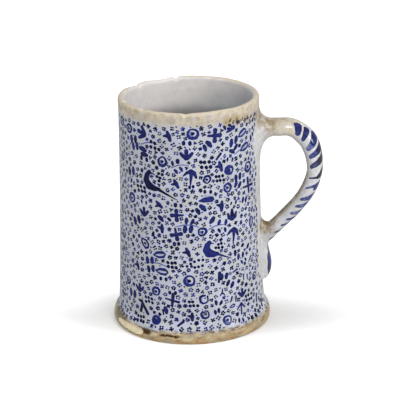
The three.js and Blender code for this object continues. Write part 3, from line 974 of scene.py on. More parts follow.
def new_node(tree, kind, sockets=None, **options):
    """Adds a node, sets its options, and feeds its sockets, which are named or numbered."""
    made = tree.nodes.new(kind)
    for option, value in options.items():
        setattr(made, option, value)
    for key, value in (sockets or {}).items():
        feed(made.inputs[key], value)
    return made


def values_of(node):
    """A node's outputs by name."""
    return {socket.name: Value(socket) for socket in node.outputs}


def calc(operation, *numbers, clamp=False):
    tree = next(number.tree for number in numbers if isinstance(number, Value))
    sockets = dict(enumerate(numbers))
    return Value(new_node(tree, "ShaderNodeMath", sockets, operation=operation, use_clamp=clamp).outputs[0])


def vector(operation, place, *others, out="Vector"):
    sockets = dict(enumerate((place, *others)))
    return Value(new_node(place.tree, "ShaderNodeVectorMath", sockets, operation=operation).outputs[out])


def ramp(value, low, high, start=0.0, end=1.0, smoothly=True):
    """Takes a value from between low and high to between start and end."""
    made = new_node(value.tree, "ShaderNodeMapRange",
                    {"Value": value, "From Min": low, "From Max": high, "To Min": start, "To Max": end},
                    interpolation_type="SMOOTHSTEP" if smoothly else "LINEAR")
    return Value(made.outputs[0])


def mix(factor, under, over):
    """Lays one colour over another. The node's sockets 6 and 7 take colours, and its output 2 gives one."""
    made = new_node(factor.tree, "ShaderNodeMix", {0: factor, 6: under, 7: over}, data_type="RGBA")
    return Value(made.outputs[2])


def noise_values(place, size, detail, roughness):
    """Noise with patches of about a size in metres."""
    sockets = {"Vector": place, "Scale": 1 / size, "Detail": detail, "Roughness": roughness}
    return values_of(new_node(place.tree, "ShaderNodeTexNoise", sockets))


def grain(place, size, detail=2.0, roughness=0.5, flatter=1):
    """A number from noise, whose patches can be so many times flatter than wide."""
    if flatter != 1:
        place = vector("MULTIPLY", place, (1, 1, flatter))
    return noise_values(place, size, detail, roughness)["Fac"]


def shaken(place, position, size, detail, roughness, amounts):
    """A place moved by the noise at a position, by up to half of each amount."""
    wander = vector("SUBTRACT", noise_values(position, size, detail, roughness)["Color"], (0.5, 0.5, 0.5))
    return vector("ADD", place, vector("MULTIPLY", wander, amounts))


def coats(colour, *layers):
    """Lays tints over a colour, one after the other. Each has a value, the range in which the tint comes in,
    how much of it shows at the two ends of that range, and the tint."""
    for value, low, high, at_low, at_high, tint in layers:
        colour = mix(ramp(value, low, high, at_low, at_high), colour, linear(tint))
    return colour


def mesh_values(tree, name):
    """What the mesh keeps under a name, as a number, a vector or a colour with its opacity."""
    return values_of(new_node(tree, "ShaderNodeAttribute", attribute_name=name, attribute_type="GEOMETRY"))


def axes(place):
    """A place's three numbers."""
    return tuple(values_of(new_node(place.tree, "ShaderNodeSeparateXYZ", {0: place})).values())


def group_tree(name, inputs, outputs):
    """A node group with sockets given by name and type: its tree, its inputs by name, and the sockets at its
    end."""
    tree = bpy.data.node_groups.new(name, "ShaderNodeTree")
    for direction, sockets in (("INPUT", inputs), ("OUTPUT", outputs)):
        for label, kind in sockets.items():
            tree.interface.new_socket(label, in_out=direction, socket_type="NodeSocket" + kind)
    return tree, values_of(tree.nodes.new("NodeGroupInput")), tree.nodes.new("NodeGroupOutput").inputs


def brush_group():
    """Draws one stroke: the ink it leaves at a place, how burnt that is, and how far off the edge is."""
    tree, given, end = group_tree(
        "Brush stroke",
        {"Place": "Vector", "Start": "Vector", "Ink": "Float",
         "Run": "Vector", "Burn": "Float", "Softness": "Float"},
        {"Ink": "Float", "Burn": "Float", "Gap": "Float"},
    )
    flat = (1, 1, 0)
    offset = vector("SUBTRACT", given["Place"], vector("MULTIPLY", given["Start"], flat))
    run = vector("MULTIPLY", given["Run"], flat)
    no_length = 1e-12
    length = calc("MAXIMUM", vector("DOT_PRODUCT", run, run, out="Value"), no_length)
    along = calc("DIVIDE", vector("DOT_PRODUCT", offset, run, out="Value"), length, clamp=True)
    nearest = new_node(tree, "ShaderNodeVectorMath", {0: run, "Scale": along}, operation="SCALE").outputs[0]
    away = vector("LENGTH", vector("SUBTRACT", offset, Value(nearest)), out="Value")
    first, last = (axes(given[name])[2] for name in ("Start", "Run"))
    gap = away - ((last - first) * along + first)
    ink = ramp(gap, given["Softness"] * -1, given["Softness"], 1, 0) * given["Ink"]
    feed(end["Ink"], ink)
    feed(end["Burn"], ink * given["Burn"])
    feed(end["Gap"], gap)
    return tree


def fold(operation, marks, name):
    """One number from those that all marks give under a name."""
    return reduce(lambda one, other: calc(operation, one, other), [mark[name] for mark in marks])


def cobalt_group(painting, colours):
    """The painting on a piece: the colour of its strokes, and how much of the glaze they cover."""
    tree, given, end = group_tree("Cobalt painting", {"Position": "Vector"},
                                  {"Colour": "Color", "Cover": "Float"})
    position = given["Position"]
    place = mesh_values(tree, "place")["Vector"]
    for size, share in ((2.2 * MM, 0.7), (0.6 * MM, 0.45)):
        amount = painting.waver * share
        place = shaken(place, position, size, 1.0, 0.5, (amount, amount, 0))
    brush = brush_group()
    marks = []
    for slot in range(STROKE_SLOTS):
        start, run = mesh_values(tree, f"stroke_{slot}_start"), mesh_values(tree, f"stroke_{slot}_run")
        marks.append(values_of(new_node(tree, "ShaderNodeGroup", {
            "Place": place, "Start": start["Color"], "Ink": start["Alpha"],
            "Run": run["Color"], "Burn": run["Alpha"], "Softness": painting.softness,
        }, node_tree=brush)))
    burn = fold("MAXIMUM", marks, "Burn")
    pooled = ramp(fold("MINIMUM", marks, "Gap"), -painting.pool, -0.15 * painting.pool, 0.87, 1.05)
    uneven = ramp(grain(position, 1.8 * MM), 0.3, 0.7, 0.85, 1.2)
    ink = calc("MULTIPLY", fold("MAXIMUM", marks, "Ink") * pooled, uneven, clamp=True)
    colour = coats(linear(colours.pale_cobalt), (ink, 0.2, 0.6, 0, 1, colours.cobalt),
                   (ink, 0.6, 1.0, 0, 1, colours.deep_cobalt))
    for low, high, tint in ((0.0, 0.8, colours.burnt), (0.8, 1.2, colours.rust)):
        colour = mix(ramp(burn, low, high, smoothly=False), colour, linear(tint))
    feed(end["Colour"], colour)
    feed(end["Cover"], ramp(ink, 0.0, 0.45))
    return tree


def near_point(position, point, inner, outer):
    """1 within a distance of a point, and nothing past a further one."""
    return ramp(vector("DISTANCE", position, point, out="Value"), inner, outer, 1, 0)


Stain = namedtuple("Stain", "out across height inner outer share colour")
# Stains round the handle's joints: how far out from the wall, how far across and how high their middles are,
# where they begin and end to fade, all in millimetres, how strong they are, and their colour
STAINS = [
    Stain(6, 0, 152, 4, 15, 0.8, "worn"),
    Stain(17, -3, 148, 8, 17, 1.0, "worn"),
    Stain(20, -5, 148, 1, 8, 0.45, "stain"),
    Stain(15, 0, 152, 1, 6, 0.5, "stain"),
    Stain(0, -7, 157, 1, 11, 1.0, "stain"),
    Stain(8, -3, 151, 1, 7, 0.8, "stain"),
    Stain(4, -8, 150, 2, 14, 0.75, "stain"),
    Stain(13, 0, 81, 2, 8, 0.6, "stain"),
    Stain(3.5, -4, 72, 2, 10, 1.1, "stain"),
    Stain(6, 0, 74, 1, 8, 1.0, "rust"),
]


def glaze_group(body, colours):
    """The tin glaze that all pieces share, with its mottling and the stains round the handle's joints."""
    tree, given, end = group_tree("Tin glaze", {"Position": "Vector", "Glaze": "Color"},
                                  {"Colour": "Color", "Bump": "Float"})
    position = given["Position"]
    x, y, _ = axes(position)
    beside = ramp(calc("ABSOLUTE", y), 13 * MM, 21 * MM, 1, 0) * calc("GREATER_THAN", x, 0)
    fine = grain(position, 3.2 * MM, 4.0, 0.6)
    colour = coats(mix(beside, given["Glaze"], linear(colours.strap)),
                   (grain(position, 24 * MM, 3.0), 0.35, 0.7, 0, 0.6, colours.ground_shade),
                   (fine, 0.44, 0.6, 0, 0.62, colours.ground_warm),
                   (grain(position, 1.1 * MM, 1.0), 0.66, 0.78, 0, 0.4, colours.stain))
    loose = shaken(position, position, 5 * MM, 3.0, 0.5, (9 * MM, 9 * MM, 9 * MM))
    broken = ramp(grain(position, 3.5 * MM, 5.0, 0.7), 0.38, 0.6, 0.25, 1.2)
    wall = wall_radius(body, 70 * MM)
    for stain in STAINS:
        point = (wall + stain.out * MM, stain.across * MM, stain.height * MM)
        share = near_point(loose, point, stain.inner * MM, stain.outer * MM) * (broken * stain.share)
        colour = mix(share, colour, linear(getattr(colours, stain.colour)))
    feed(end["Colour"], colour)
    feed(end["Bump"], grain(position, 9 * MM) * 0.9 + fine * 0.14)
    return tree


def new_material(name):
    """An empty material, the sockets of its shader, and its Object coordinates."""
    material = bpy.data.materials.new(name)
    material.use_nodes = True
    tree = material.node_tree
    tree.nodes.clear()
    shader = tree.nodes.new("ShaderNodeBsdfPrincipled")
    feed(tree.nodes.new("ShaderNodeOutputMaterial").inputs["Surface"], Value(shader.outputs[0]))
    return material, shader.inputs, values_of(tree.nodes.new("ShaderNodeTexCoord"))["Object"]


def bump_into(shader, height):
    bump = new_node(height.tree, "ShaderNodeBump", {"Strength": 1.0, "Distance": 0.16 * MM, "Height": height})
    feed(shader["Normal"], Value(bump.outputs[0]))


def shared_group(name, make, settings, sockets):
    """The values of a node group that several materials use, made the first time that it is asked for."""
    group = bpy.data.node_groups.get(name) or make(*settings)
    return values_of(new_node(sockets["Position"].tree, "ShaderNodeGroup", sockets, node_tree=group))


def glaze_values(tankard, position, ground):
    sockets = {"Position": position, "Glaze": linear(ground)}
    return shared_group("Tin glaze", glaze_group, (tankard.body, tankard.colours), sockets)


def painted_over(tankard, position, colour):
    """A colour with the piece's brush strokes over it."""
    settings = (tankard.painting, tankard.colours)
    paint = shared_group("Cobalt painting", cobalt_group, settings, {"Position": position})
    return mix(paint["Cover"], colour, paint["Colour"])


class BodyFinish:
    """The body's material: painted glaze on the wall, a worn rim, bare clay on the foot and underneath, and
    plain glaze inside. Its zones share their grains, so that their ragged edges run together."""

    def __init__(self, tankard):
        self.tankard = tankard
        self.outline = outer_outline(tankard.body)
        self.material, self.shader, self.position = new_material("Painted tin glaze")
        self.x, _, self.z = axes(self.position)
        self.mottle = grain(self.position, 13 * MM, 4.0, 0.6)
        self.edge = grain(self.position, 7 * MM, 4.0, 0.65)
        self.streak = grain(self.position, 5 * MM, 5.0, 0.7, 2.6)
        self.blotch = grain(self.position, 3.6 * MM, 5.0, 0.75)
        self.speck = grain(self.position, 1.5 * MM, 3.0, 0.6)
        self.ragged = self.edge - 0.5
        self.ragged_height = self.z + self.ragged * (5 * MM)

        radius = vector("LENGTH", vector("MULTIPLY", self.position, (1, 1, 0)), out="Value")
        middle, wall = wall_middle(tankard.body), tankard.body.rim_wall
        self.inside = ramp(radius, middle, middle + wall * 0.1, 1, 0) * ramp(self.z, 3 * MM, 4 * MM)
        self.outside = 1 - self.inside
        line = tankard.painting.top_line
        self.rim = ramp(self.z + self.ragged * (7 * MM), line - 4.5 * MM, line + 3 * MM)
        far_left = calc("MINIMUM", self.x + 38 * MM, 0)
        self.foot_height = self.ragged_height + (self.speck - 0.5) * (5 * MM) + far_left * 0.2

    def seen_at(self, column, row):
        return wall_point(self.tankard.stage, self.outline, column, row)

    def inside_colour(self):
        """Glaze with painted shade: darker downwards and towards the handle, and in a ring below the rim."""
        colours, top = self.tankard.colours, self.tankard.body.height
        # Painted shade: the deeper a point lies and the nearer the handle, the more the glaze darkens into
        # the inside shade.
        deep = self.x * 0.8 + top - self.z + self.mottle * (16 * MM)
        colour = coats(linear(colours.inside),
                       (deep, 20 * MM, 66 * MM, 0, 1, colours.inside_shade),
                       (self.edge, 0.44, 0.6, 0, 0.14, colours.inside_shade),
                       (self.speck, 0.64, 0.76, 0, 0.3, colours.stain))
        # Painted shade: a dark ring below the rim in the burnt colour, fading out further down.
        painted_shade_ring = (ramp(self.z, top - 29 * MM, top - 18 * MM, 0.55, 0)
                * ramp(self.z, top - 85 * MM, top - 40 * MM, 0.15, 1))
        return mix(painted_shade_ring, colour, linear(colours.burnt))

    def wall_colour(self, glaze):
        """The glaze under the worn rim and its rusty stains, with the painting over all."""
        colours = self.tankard.colours
        worn = coats(linear(colours.worn),
                     (self.blotch, 0.38, 0.68, 0, 0.62, colours.stain),
                     (self.edge, 0.5, 0.64, 0, 0.4, colours.ground_shade),
                     (self.mottle, 0.5, 0.66, 0, 0.7, colours.worn_pale),
                     (self.speck, 0.6, 0.74, 0, 0.45, colours.stain))
        colour = mix(self.rim * 0.92, glaze, worn)
        patchy = ramp(self.blotch, 0.36, 0.56, 0.2, 0.8)
        for pixel in UNDER_RIM:
            near = near_point(self.position, self.seen_at(*pixel), 1.5 * MM, 6 * MM)
            colour = mix(near * patchy, colour, linear(colours.gold))
        return painted_over(self.tankard, self.position, colour)

    def clay_colour(self):
        """Bare clay: greyish and warm patches, paler and darker ones, the dark marks, and painted light and
        shade at its sides.
        """
        colours = self.tankard.colours
        flow = grain(self.position, 9 * MM, 5.0, 0.65, 3.2)
        colour = coats(linear(colours.clay), (self.streak, 0.36, 0.6, 0, 1, colours.clay_grey))
        warm = ramp(self.mottle, 0.42, 0.58) * ramp(self.z, 2.5 * MM, 7.5 * MM, 0.95, 0.25)
        colour = coats(mix(warm, colour, linear(colours.clay_warm)),
                       (flow, 0.5, 0.64, 0, 0.5, colours.clay_pale),
                       (flow, 0.47, 0.34, 0, 0.6, colours.clay_dark),
                       (self.speck, 0.58, 0.70, 0, 0.45, colours.clay_dark),
                       # Towards the far left the clay turns a paler olive, partly its own tone and partly
                       # painted light. Towards the right it darkens with stain brown, which is painted shade.
                       (self.x, -50 * MM, -40 * MM, 0.65, 0, colours.ground_warm),
                       (self.x, 12 * MM, 50 * MM, 0, 0.32, colours.stain))
        loose = shaken(self.position, self.position, 3 * MM, 4.0, 0.65, (5 * MM, 5 * MM, 4 * MM))
        # Dark marks: the first is painted shade on the foot's far left, the others scorch and dirt.
        for scorch in FOOT_MARKS_AND_SHADE:
            size = scorch.size * MM
            away = vector("SUBTRACT", loose, self.seen_at(scorch.column, scorch.row))
            away = vector("LENGTH", vector("MULTIPLY", away, (1, 1, scorch.squash)), out="Value")
            colour = coats(colour, (away, 0.5 * size, size, scorch.share, 0, colours.clay_dark))
        return colour

    def flaked(self, colour):
        """The foot's colour with fresh clay in its flake and dirt along that, and where the fresh clay is."""
        colours = self.tankard.colours
        depth = mesh_values(self.position.tree, "flake")["Fac"]
        torn = (self.blotch - 0.5) * 1.3 + depth
        within = calc("GREATER_THAN", depth, 0.001)
        colour = mix(ramp(torn, 0.0, 0.2) * within * 0.7, colour, linear(colours.clay_dark))
        fresh = ramp(torn, 0.25, 0.4) * ramp(self.speck, 0.3, 0.5, 0.7, 1) * within
        clean = coats(linear(colours.clay_pale), (self.blotch, 0.5, 0.66, 0, 0.5, colours.clay))
        return mix(fresh, colour, clean), fresh

    def make(self):
        colours, line, top = self.tankard.colours, self.tankard.painting.foot_line, self.tankard.body.height
        glaze = glaze_values(self.tankard, self.position, colours.ground)
        colour = mix(self.inside, self.wall_colour(glaze["Colour"]), self.inside_colour())
        colour = coats(colour, (self.ragged_height, top - 1.9 * MM, top - 0.9 * MM, 0, 0.75, colours.worn))

        foot_colour, fresh = self.flaked(self.clay_colour())
        foot = ramp(self.foot_height, line - 1.5 * MM, line + 1.5 * MM, 1, 0) * self.outside
        foot = calc("MAXIMUM", foot, fresh)
        colour = mix(foot, colour, foot_colour)
        seam = ramp(calc("ABSOLUTE", self.foot_height - line), 0.3 * MM, 2.2 * MM, 0.75, 0)
        seam = seam * ramp(self.streak, 0.42, 0.58) * (1 - calc("MAXIMUM", fresh, self.inside))
        feed(self.shader["Base Color"], mix(seam, colour, linear(colours.clay_dark)))

        bare = calc("MAXIMUM", foot, self.rim * self.outside * 0.5)
        feed(self.shader["Roughness"], ramp(bare, 0, 1, 0.2, 0.78, smoothly=False))
        feed(self.shader["Specular IOR Level"], 0.17)
        bump_into(self.shader, glaze["Bump"] + bare * self.speck * 1.6)
        return self.material


def strap_material(tankard, painted):
    """Glaze of the handle and its lutings, with the brush strokes and the painted shade along the inner edge
    where the piece carries them.
    """
    colours = tankard.colours
    name = "Painted strap glaze" if painted else "Plain strap glaze"
    if name in bpy.data.materials:
        return bpy.data.materials[name]
    material, shader, position = new_material(name)
    glaze = glaze_values(tankard, position, colours.strap)
    colour = glaze["Colour"]
    if painted:
        # Painted shade along the strap's inner edge, which faces the wall: stain brown, with dark clay
        # nearest the edge, broken by a rubbed grain.
        edge = mesh_values(position.tree, "inner_edge")["Fac"]
        rub = grain(position, 4 * MM, 4.0, 0.65)
        inner_shade = ramp(edge, 0.62, 0.94) * ramp(rub, 0.34, 0.58, 0.3, 0.95)
        deep_inner_shade = ramp(edge, 0.86, 1.0) * ramp(rub, 0.40, 0.6, 0.2, 0.85)
        colour = mix(deep_inner_shade, mix(inner_shade, colour, linear(colours.stain)), linear(colours.clay_dark))
        colour = painted_over(tankard, position, colour)
    feed(shader["Base Color"], colour)
    feed(shader["Roughness"], 0.12 if painted else 0.3)
    feed(shader["Specular IOR Level"], 0.5)
    bump_into(shader, glaze["Bump"])
    return material


# The strap's course

Station = namedtuple("Station", "stand_off height width depth")
HEEL, SEAT = 9, 10  # the stations between which the lower luting fills the crook


def strap_stations(body):
    """From inside the wall at the upper joint, round the grip, to the tip of the free end: how far the middle
    of the strap stands off the wall, its height, its width and its depth."""
    top = body.height
    root = Station(-wall_thickness(body, top) / 2, top - 25.4 * MM, 18.6 * MM, 11.6 * MM)
    return [
        root,
        Station(6.2 * MM, root.height, 19.3 * MM, 12.2 * MM),
        Station(12.5 * MM, top - 25.5 * MM, 20 * MM, 12.8 * MM),
        Station(21.5 * MM, top - 25.5 * MM, 20 * MM, 12.8 * MM),
        Station(29.4 * MM, top - 30.2 * MM, 19.4 * MM, 14.4 * MM),
        Station(35.8 * MM, top - 38.6 * MM, 19.4 * MM, 14.4 * MM),
        Station(38.6 * MM, 116 * MM, 18.4 * MM, 12.5 * MM),
        Station(35.5 * MM, 102.6 * MM, 17.6 * MM, 11.8 * MM),
        Station(26.6 * MM, 88.5 * MM, 16.8 * MM, 11 * MM),
        Station(15.1 * MM, 76.3 * MM, 16.4 * MM, 10.8 * MM),
        Station(4.3 * MM, 65.6 * MM, 15.5 * MM, 10.8 * MM),
        Station(0.2 * MM, 57.5 * MM, 14.6 * MM, 8.4 * MM),
        Station(0, 43 * MM, 15.6 * MM, 12.6 * MM),
        Station(0, 29.5 * MM, 13 * MM, 12 * MM),
    ]


def catmull_rom(values, t):
    """Reads smooth curves through evenly numbered rows of values, at t from 0 to 1."""
    values = np.array(values, float)
    ends = np.concatenate([[2 * values[0] - values[1]], values, [2 * values[-1] - values[-2]]])
    place = min(max(t, 0), 1) * (len(values) - 1)
    i = min(int(place), len(values) - 2)
    f = place - i
    a, b, c, d = ends[i:i + 4]
    return b + 0.5 * f * (c - a + f * (2 * a - 5 * b + 4 * c - d + f * (3 * (b - c) + d - a)))


def squarer(share, power):
    """A share of a half width raised to a power, on the same side."""
    return math.copysign(abs(share) ** power, share)


def strap_section(angle, width, depth, sizes):
    """Across and outward from the strap's middle: domed outside, flatter towards the wall."""
    across, out = math.cos(angle), math.sin(angle)
    power = 2 / sizes.fullness
    reach = 1 if out > 0 else sizes.inner_flatness
    return width / 2 * squarer(across, power), depth / 2 * reach * squarer(out, power)


def draw_tube(sections, sides, close_end):
    """A closed skin through sections, each a function of the angle round it. It keeps those angles, and the
    number of the section, on its vertices."""
    bm = bmesh.new()
    bmesh.ops.create_circle(bm, segments=sides, radius=1)
    around = bm.verts.layers.float.new("around")
    along = bm.verts.layers.float.new("along")
    for v in bm.verts:
        v[around] = math.atan2(v.co.y, v.co.x) % TURN
    ends = list(bm.edges)
    first = list(bm.verts)
    for number, section in enumerate(sections):
        if number:
            made = bmesh.ops.extrude_edge_only(bm, edges=ends)["geom"]
            ends = [e for e in made if isinstance(e, bmesh.types.BMEdge) and e.is_boundary]
            ring_verts = {v for e in ends for v in e.verts}
        else:
            ring_verts = set(first)
        for v in ring_verts:
            v.co = section(v[around])
            v[along] = number
    bmesh.ops.contextual_create(bm, geom=first)
    last = sorted(ring_verts, key=lambda v: v[around])
    if close_end:
        middle = sum((v.co for v in last), Vector()) / len(last)
        bmesh.ops.pointmerge(bm, verts=last, merge_co=middle)
    else:
        bmesh.ops.contextual_create(bm, geom=last)
    bmesh.ops.recalc_face_normals(bm, faces=bm.faces)
    return bm


def crease(x, y, z, outline, fill):
    """How much clay is smoothed into the crease where a point of the strap comes down to the wall."""
    above = (math.hypot(x, y) - radius_at(outline, z)) / fill
    return fill * (1 - math.sqrt(min(max(above, 0), 1))) ** 2


Slash = namedtuple("Slash", "start end crest reach wide thin ink burn pale")
# Strokes across the strap: where each starts near the crest and ends on the flank, in millimetres along the
# strap; how far from the crest it starts and ends, as shares of the way to the inner edge; its half widths in
# millimetres; its ink and how burnt that is; and how much of the ink is left in its far half
SLASHES = [
    Slash(27.4, 29.5, 0.20, 0.45, 2.4, 1.9, 0.82, 0, 0.85),
    Slash(33.1, 35.2, 0.17, 0.50, 2.2, 1.4, 0.86, 0, 0.85),
    Slash(38.7, 43.4, 0.10, 0.56, 2.5, 1.8, 0.84, 0, 0.5),
    Slash(44.9, 49.8, 0, 0.57, 2.5, 1.6, 0.94, 0.15, 0.6),
    Slash(51.0, 57.8, 0, 0.61, 2.8, 1.6, 0.84, 0.8, 0.6),
    Slash(59.4, 65.0, 0, 0.34, 3.3, 1.6, 0.66, 1.05, 1),
    Slash(64.0, 67.2, 0.15, 0.66, 0.9, 0.6, 0.66, 0.8, 1),
    Slash(68.8, 73.4, 0, 0.32, 2.9, 1.6, 0.56, 0.5, 1),
    Slash(68.6, 75.8, 0.2, 0.64, 1.3, 0.7, 0.46, 0.5, 0.9),
    Slash(75.4, 84.8, 0, 0.56, 3.1, 1.0, 0.56, 0.35, 0.85),
    Slash(82.0, 91.2, 0, 0.54, 2.9, 1.0, 0.54, 0.4, 0.85),
    Slash(88.6, 97.6, 0, 0.51, 2.9, 1.0, 0.42, 0.5, 0.9),
    Slash(94.6, 103.0, 0, 0.44, 2.6, 0.9, 0.54, 0.6, 0.85),
    Slash(100.2, 109.0, 0, 0.42, 2.3, 0.8, 0.52, 0.65, 0.85),
    Slash(107.2, 116.2, 0, 0.38, 2.1, 0.8, 0.52, 0.7, 0.85),
    Slash(114.6, 123.4, 0, 0.33, 1.9, 0.8, 0.52, 0.75, 0.85),
]
# The blot on the pinched free end, along its crest
TAIL_BLOT = [
    Stroke(133.0 * MM, 0, 137.0 * MM, 0, 4.6 * MM, 3.6 * MM, 0.75, 0.4),
    Stroke(142.5 * MM, 0, 147.5 * MM, 0, 7.6 * MM, 8.4 * MM, 0.70, 0.1),
    Stroke(151.5 * MM, 0, 153.5 * MM, 0, 7.0 * MM, 5.0 * MM, 0.95, 0.7),
]


def strap_strokes(half_girth):
    """The slashes and the blot. Each slash is drawn on the far flank too, and the two cross at the crest."""
    made = list(TAIL_BLOT)
    for slash in SLASHES:
        start, wide, thin = slash.start * MM, slash.wide * MM, slash.thin * MM
        halfway = wide * 0.7 + thin * 0.3
        for side in (-1, 1):
            near, far = side * slash.crest * half_girth, side * slash.reach * half_girth
            end = start + side * (slash.end * MM - start)
            middle = ((start + end) / 2, (near + far) / 2)
            made.append(Stroke(start, near, *middle, wide, halfway, slash.ink, slash.burn))
            made.append(Stroke(*middle, end, far, halfway, thin, slash.ink * slash.pale, slash.burn))
    return made


class TANKARD_OT_body(bpy.types.Operator):
    """Throws the body: turns its profile, loosens it by hand, and paints and glazes it"""
    bl_idname = "tankard.body"
    bl_label = "Body"

    def execute(self, context):
        tankard = context.scene.tankard
        body = tankard.body
        bm = bmesh.new()
        points = [bm.verts.new((radius, 0, height)) for radius, height in body_profile(body)]
        edges = [bm.edges.new(pair) for pair in zip(points, points[1:])]
        bmesh.ops.spin(bm, geom=points + edges, cent=(0, 0, 0), axis=(0, 0, 1), angle=TURN,
                       steps=body.columns, use_merge=True, use_normal_flip=False)
        bmesh.ops.remove_doubles(bm, verts=bm.verts, dist=0.001 * MM)
        bmesh.ops.recalc_face_normals(bm, faces=bm.faces)
        piece = mesh_object(bm, "thrown_body", BodyFinish(tankard).make())
        self.loosen_and_paint(piece.data, body, tankard.painting, tankard.stage)
        dress(piece, "tin_glaze", "body")
        return {"FINISHED"}

    def loosen_and_paint(self, mesh, body, painting, stage):
        """Keeps each corner's place on the unrolled wall, then moves the points."""
        points = np.zeros(len(mesh.vertices) * 3)
        mesh.vertices.foreach_get("co", points)
        points = points.reshape(-1, 3)
        radius = np.hypot(points[:, 0], points[:, 1])
        off_axis = radius > 0.01 * MM
        turns = unwrapped(mesh, turn_of(points[:, 0], points[:, 1]), off_axis)
        heights = corner_values(mesh, points[:, 2])
        places = np.stack([turns * body.rim_radius, heights], 1)
        keep_places(mesh, places)
        middles = face_middles(mesh, places)
        radii = face_middles(mesh, corner_values(mesh, radius)[:, None])[:, 0]
        middles[radii < wall_middle(body)] = (-1, -1)  # the strokes stay off the inside
        reach = 0.75 * MM + painting.softness + painting.waver * 0.35
        keep_strokes(mesh, middles, painting_strokes(body, painting, stage, outer_outline(body)), reach)
        self.lay_out(mesh, turns, heights, corner_values(mesh, radius), body)
        points, depths = loosen(points, body, stage)
        mesh.vertices.foreach_set("co", points.ravel())
        keep_values(mesh, "flake", depths / MM)
        mesh.update()

    def lay_out(self, mesh, turns, heights, radii, body):
        """The map for the baked finish: wall on top, inside wall below, floor and underside beside it."""
        outer_foot, outer_tall = 0.37, 0.62
        inner_foot, inner_tall, inner_long = 0.01, 0.34, 0.76
        disc_across, disc_size, floor_up, under_up = 0.89, 0.085, 0.27, 0.09
        faces, _ = corner_faces(mesh)
        face_radius, face_height = face_middles(mesh, np.stack([radii, heights], 1))[faces].T
        across, up = turns / TURN, heights / body.height
        inside = face_radius < wall_middle(body)
        floor = inside & (face_height < body.floor_thickness + body.floor_corner * 0.35)
        under = face_height < 0.02 * MM
        spread = disc_size * radii / body.standing_radius
        across = np.where(inside, across * inner_long, across)
        across = np.where(floor | under, disc_across + spread * np.cos(turns), across)
        up = np.where(inside, inner_foot + inner_tall * up, outer_foot + outer_tall * up)
        up = np.where(floor, floor_up + spread * np.sin(turns), up)
        keep_map(mesh, across, np.where(under, under_up + spread * np.sin(turns), up))


class TANKARD_OT_handle(bpy.types.Operator):
    """Pulls the strap: its course, its section, the creases at the wall, and its slanting strokes"""
    bl_idname = "tankard.handle"
    bl_label = "Handle"

    steps = 190
    sides = 64

    def execute(self, context):
        tankard = context.scene.tankard
        body, sizes = tankard.body, tankard.strap
        outline = outer_outline(body)
        stations = [(radius_at(outline, station.height) + station.stand_off, *station[1:])
                    for station in strap_stations(body)]
        rows = [catmull_rom(stations, i / self.steps) for i in range(self.steps + 1)]
        sections = [self.section(rows, i, outline, sizes) for i in range(len(rows))]
        bm = draw_tube(sections, self.sides, close_end=True)
        piece = mesh_object(bm, "strap_handle", strap_material(tankard, painted=True))
        self.paint(piece.data, rows)
        dress(piece, "strap_glaze", "handle")
        return {"FINISHED"}

    def section(self, rows, number, outline, sizes):
        x, height, width, depth = rows[number]
        before, after = rows[max(number - 1, 0)], rows[min(number + 1, len(rows) - 1)]
        along = Vector((after[0] - before[0], 0, after[1] - before[1])).normalized()
        out = along.cross(Vector((0, 1, 0)))
        left = min((height - sizes.tip_height) / sizes.tip_rounding, 1)
        rounding = math.sqrt(max(1 - (1 - left) ** 2, 0))
        least = 0.3 * MM
        lump_size = 9 * MM
        below_grip = number > len(rows) * 0.6

        def place(angle):
            across, outward = strap_section(angle, width * rounding + least, depth * rounding + least, sizes)
            point = Vector((x, 0, height)) + out * outward
            bulge = noise.noise(Vector((point.x, across * 1.5, point.z)) / lump_size) * sizes.lumps
            point += out * bulge * math.sin(angle)
            across += bulge * math.cos(angle) * 0.6
            if below_grip:
                fill = crease(point.x, across, point.z, outline, sizes.crease_fill)
                across += math.copysign(fill, math.cos(angle))
            return point + Vector((0, across, 0))

        return place

    def paint(self, mesh, rows):
        """Unrolls the strap, with its outer crest as the middle line, and puts the strokes on it."""
        line = np.array([(row[0], row[1]) for row in rows])
        lengths = np.concatenate([[0], np.cumsum(np.hypot(*np.diff(line, axis=0).T))])
        squareness = 1.06  # how much longer the way round the strap is than round an oval as wide and deep
        half_girth = math.pi / 4 * (rows[0][2] + rows[0][3]) * squareness
        values = {}
        for name in ("around", "along"):
            values[name] = np.zeros(len(mesh.vertices))
            mesh.attributes[name].data.foreach_get("value", values[name])
        length_at = np.interp(values["along"], np.arange(len(lengths)), lengths)
        turns = unwrapped(mesh, np.mod(values["around"] + math.pi / 2, TURN), np.ones(len(length_at), bool))
        places = np.stack([corner_values(mesh, length_at), (turns / math.pi - 1) * half_girth], 1)
        keep_places(mesh, places)
        keep_strokes(mesh, face_middles(mesh, places), strap_strokes(half_girth), 1.3 * MM)
        keep_values(mesh, "inner_edge", np.maximum(-np.sin(values["around"]), 0))
        margin = 0.01
        filled = 1 - 2 * margin
        keep_map(mesh, margin + filled * places[:, 0] / lengths[-1],
                 margin + filled * (places[:, 1] / half_girth + 1) / 2)


